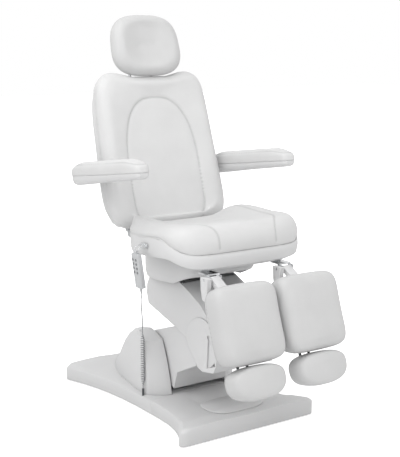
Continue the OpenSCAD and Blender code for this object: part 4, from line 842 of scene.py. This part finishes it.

# Leg rests: a square foam pillow behind each calf, fixed to its frame, and a bean-shaped one under each foot,
# on the sliding rails. Both have the white leather painted a little darker as shade, sewn near their backs.
CALF_W, CALF_H, CALF_T, CALF_POWER, CALF_COUNT = 0.262, 0.274, 0.097, 6.5, 112
FOOT_W, FOOT_H, FOOT_T, FOOT_POWER, FOOT_COUNT = 0.218, 0.136, 0.088, 2.6, 96
LEG_PIVOT_X, LEG_PIVOT_Y, LEG_PIVOT_Z, LEG_LEAN, LEG_X = 0.160, -0.445, 0.593, 19, 0.138
CALF_BACK, CALF_TOP, LEG_PLATE_T, FOOT_GAP = 0.055, 0.034, 0.008, 0.006
FOOT_ABOVE, FOOT_FLAT, FOOT_SEAM_RING = 0.36, 0.72, 5
PILLOW_SHARES = [[0.5, 0], [0.9, 0], [0.97, 0.2], [1, 0.5], [0.99, 0.72], [0.93, 0.9], [0.8, 0.985],
                 [0.4, 1.02], [0.2, 1.02]]


def calf_ring(share, high):
    """A ring of the pillow: its outline, drawn in evenly as share falls, at a share of its height."""
    p = rounded(CALF_W * share, CALF_H - CALF_W * (1 - share), CALF_POWER, CALF_COUNT)
    return level(p, CALF_T * high)


def foot_ring(share, high):
    """A ring of the foot pad, whose upper side is flatter than its lower side."""
    p = rounded(FOOT_W * share, FOOT_H - FOOT_W * (1 - share) * 0.6, FOOT_POWER, FOOT_COUNT)
    p[:, 1] = np.where(p[:, 1] > 0, p[:, 1] * FOOT_FLAT, p[:, 1])
    return level(p, FOOT_T * high)


for side, word in ((-1, "left"), (1, "right")):
    on_leg = moved(side * LEG_PIVOT_X, LEG_PIVOT_Y, LEG_PIVOT_Z) @ turned_x(-LEG_LEAN) @ moved(
        -side * (LEG_PIVOT_X - LEG_X), -CALF_BACK - LEG_PLATE_T / 2 - TOUCH, 0)
    on_calf = on_leg @ moved(0, 0, -CALF_TOP - CALF_H / 2) @ turned_x(90)
    calf_rings = np.array([calf_ring(*s) for s in eased(PILLOW_SHARES, 30)])
    calf_cover = skin(f"calf_pad_cover_{word}", placed(calf_rings, on_calf), shaded_pad_finish)
    stuffed(calf_cover, on_calf, CALF_T * 0.06, voxel=0.005, cap=0.003)
    calf_seam = placed(calf_ring(0.96, 0.16), on_calf)
    upholstered(calf_cover, f"calf_thread_{word}", f"leg_{word}", [round_path(calf_seam)],
                width=0.0035, depth=0.0014)
    cushioned(calf_cover, f"leg_{word}", f"calf_pad_{word}")

    on_foot = on_leg @ moved(0, 0, -CALF_TOP - CALF_H - FOOT_GAP - FOOT_H * FOOT_ABOVE) @ turned_x(90)
    foot_rings = np.array([foot_ring(*s) for s in eased(PILLOW_SHARES, 26)])
    foot_cover = skin(f"foot_pad_cover_{word}", placed(foot_rings, on_foot), shaded_pad_finish)
    stuffed(foot_cover, on_foot, FOOT_T * 0.06, voxel=0.004, cap=0.002)
    foot_seam = placed(foot_rings[FOOT_SEAM_RING], on_foot)
    upholstered(foot_cover, f"foot_thread_{word}", f"foot_{word}", [round_path(foot_seam)],
                width=0.003, depth=0.0012)
    cushioned(foot_cover, f"foot_{word}", f"foot_pad_{word}")
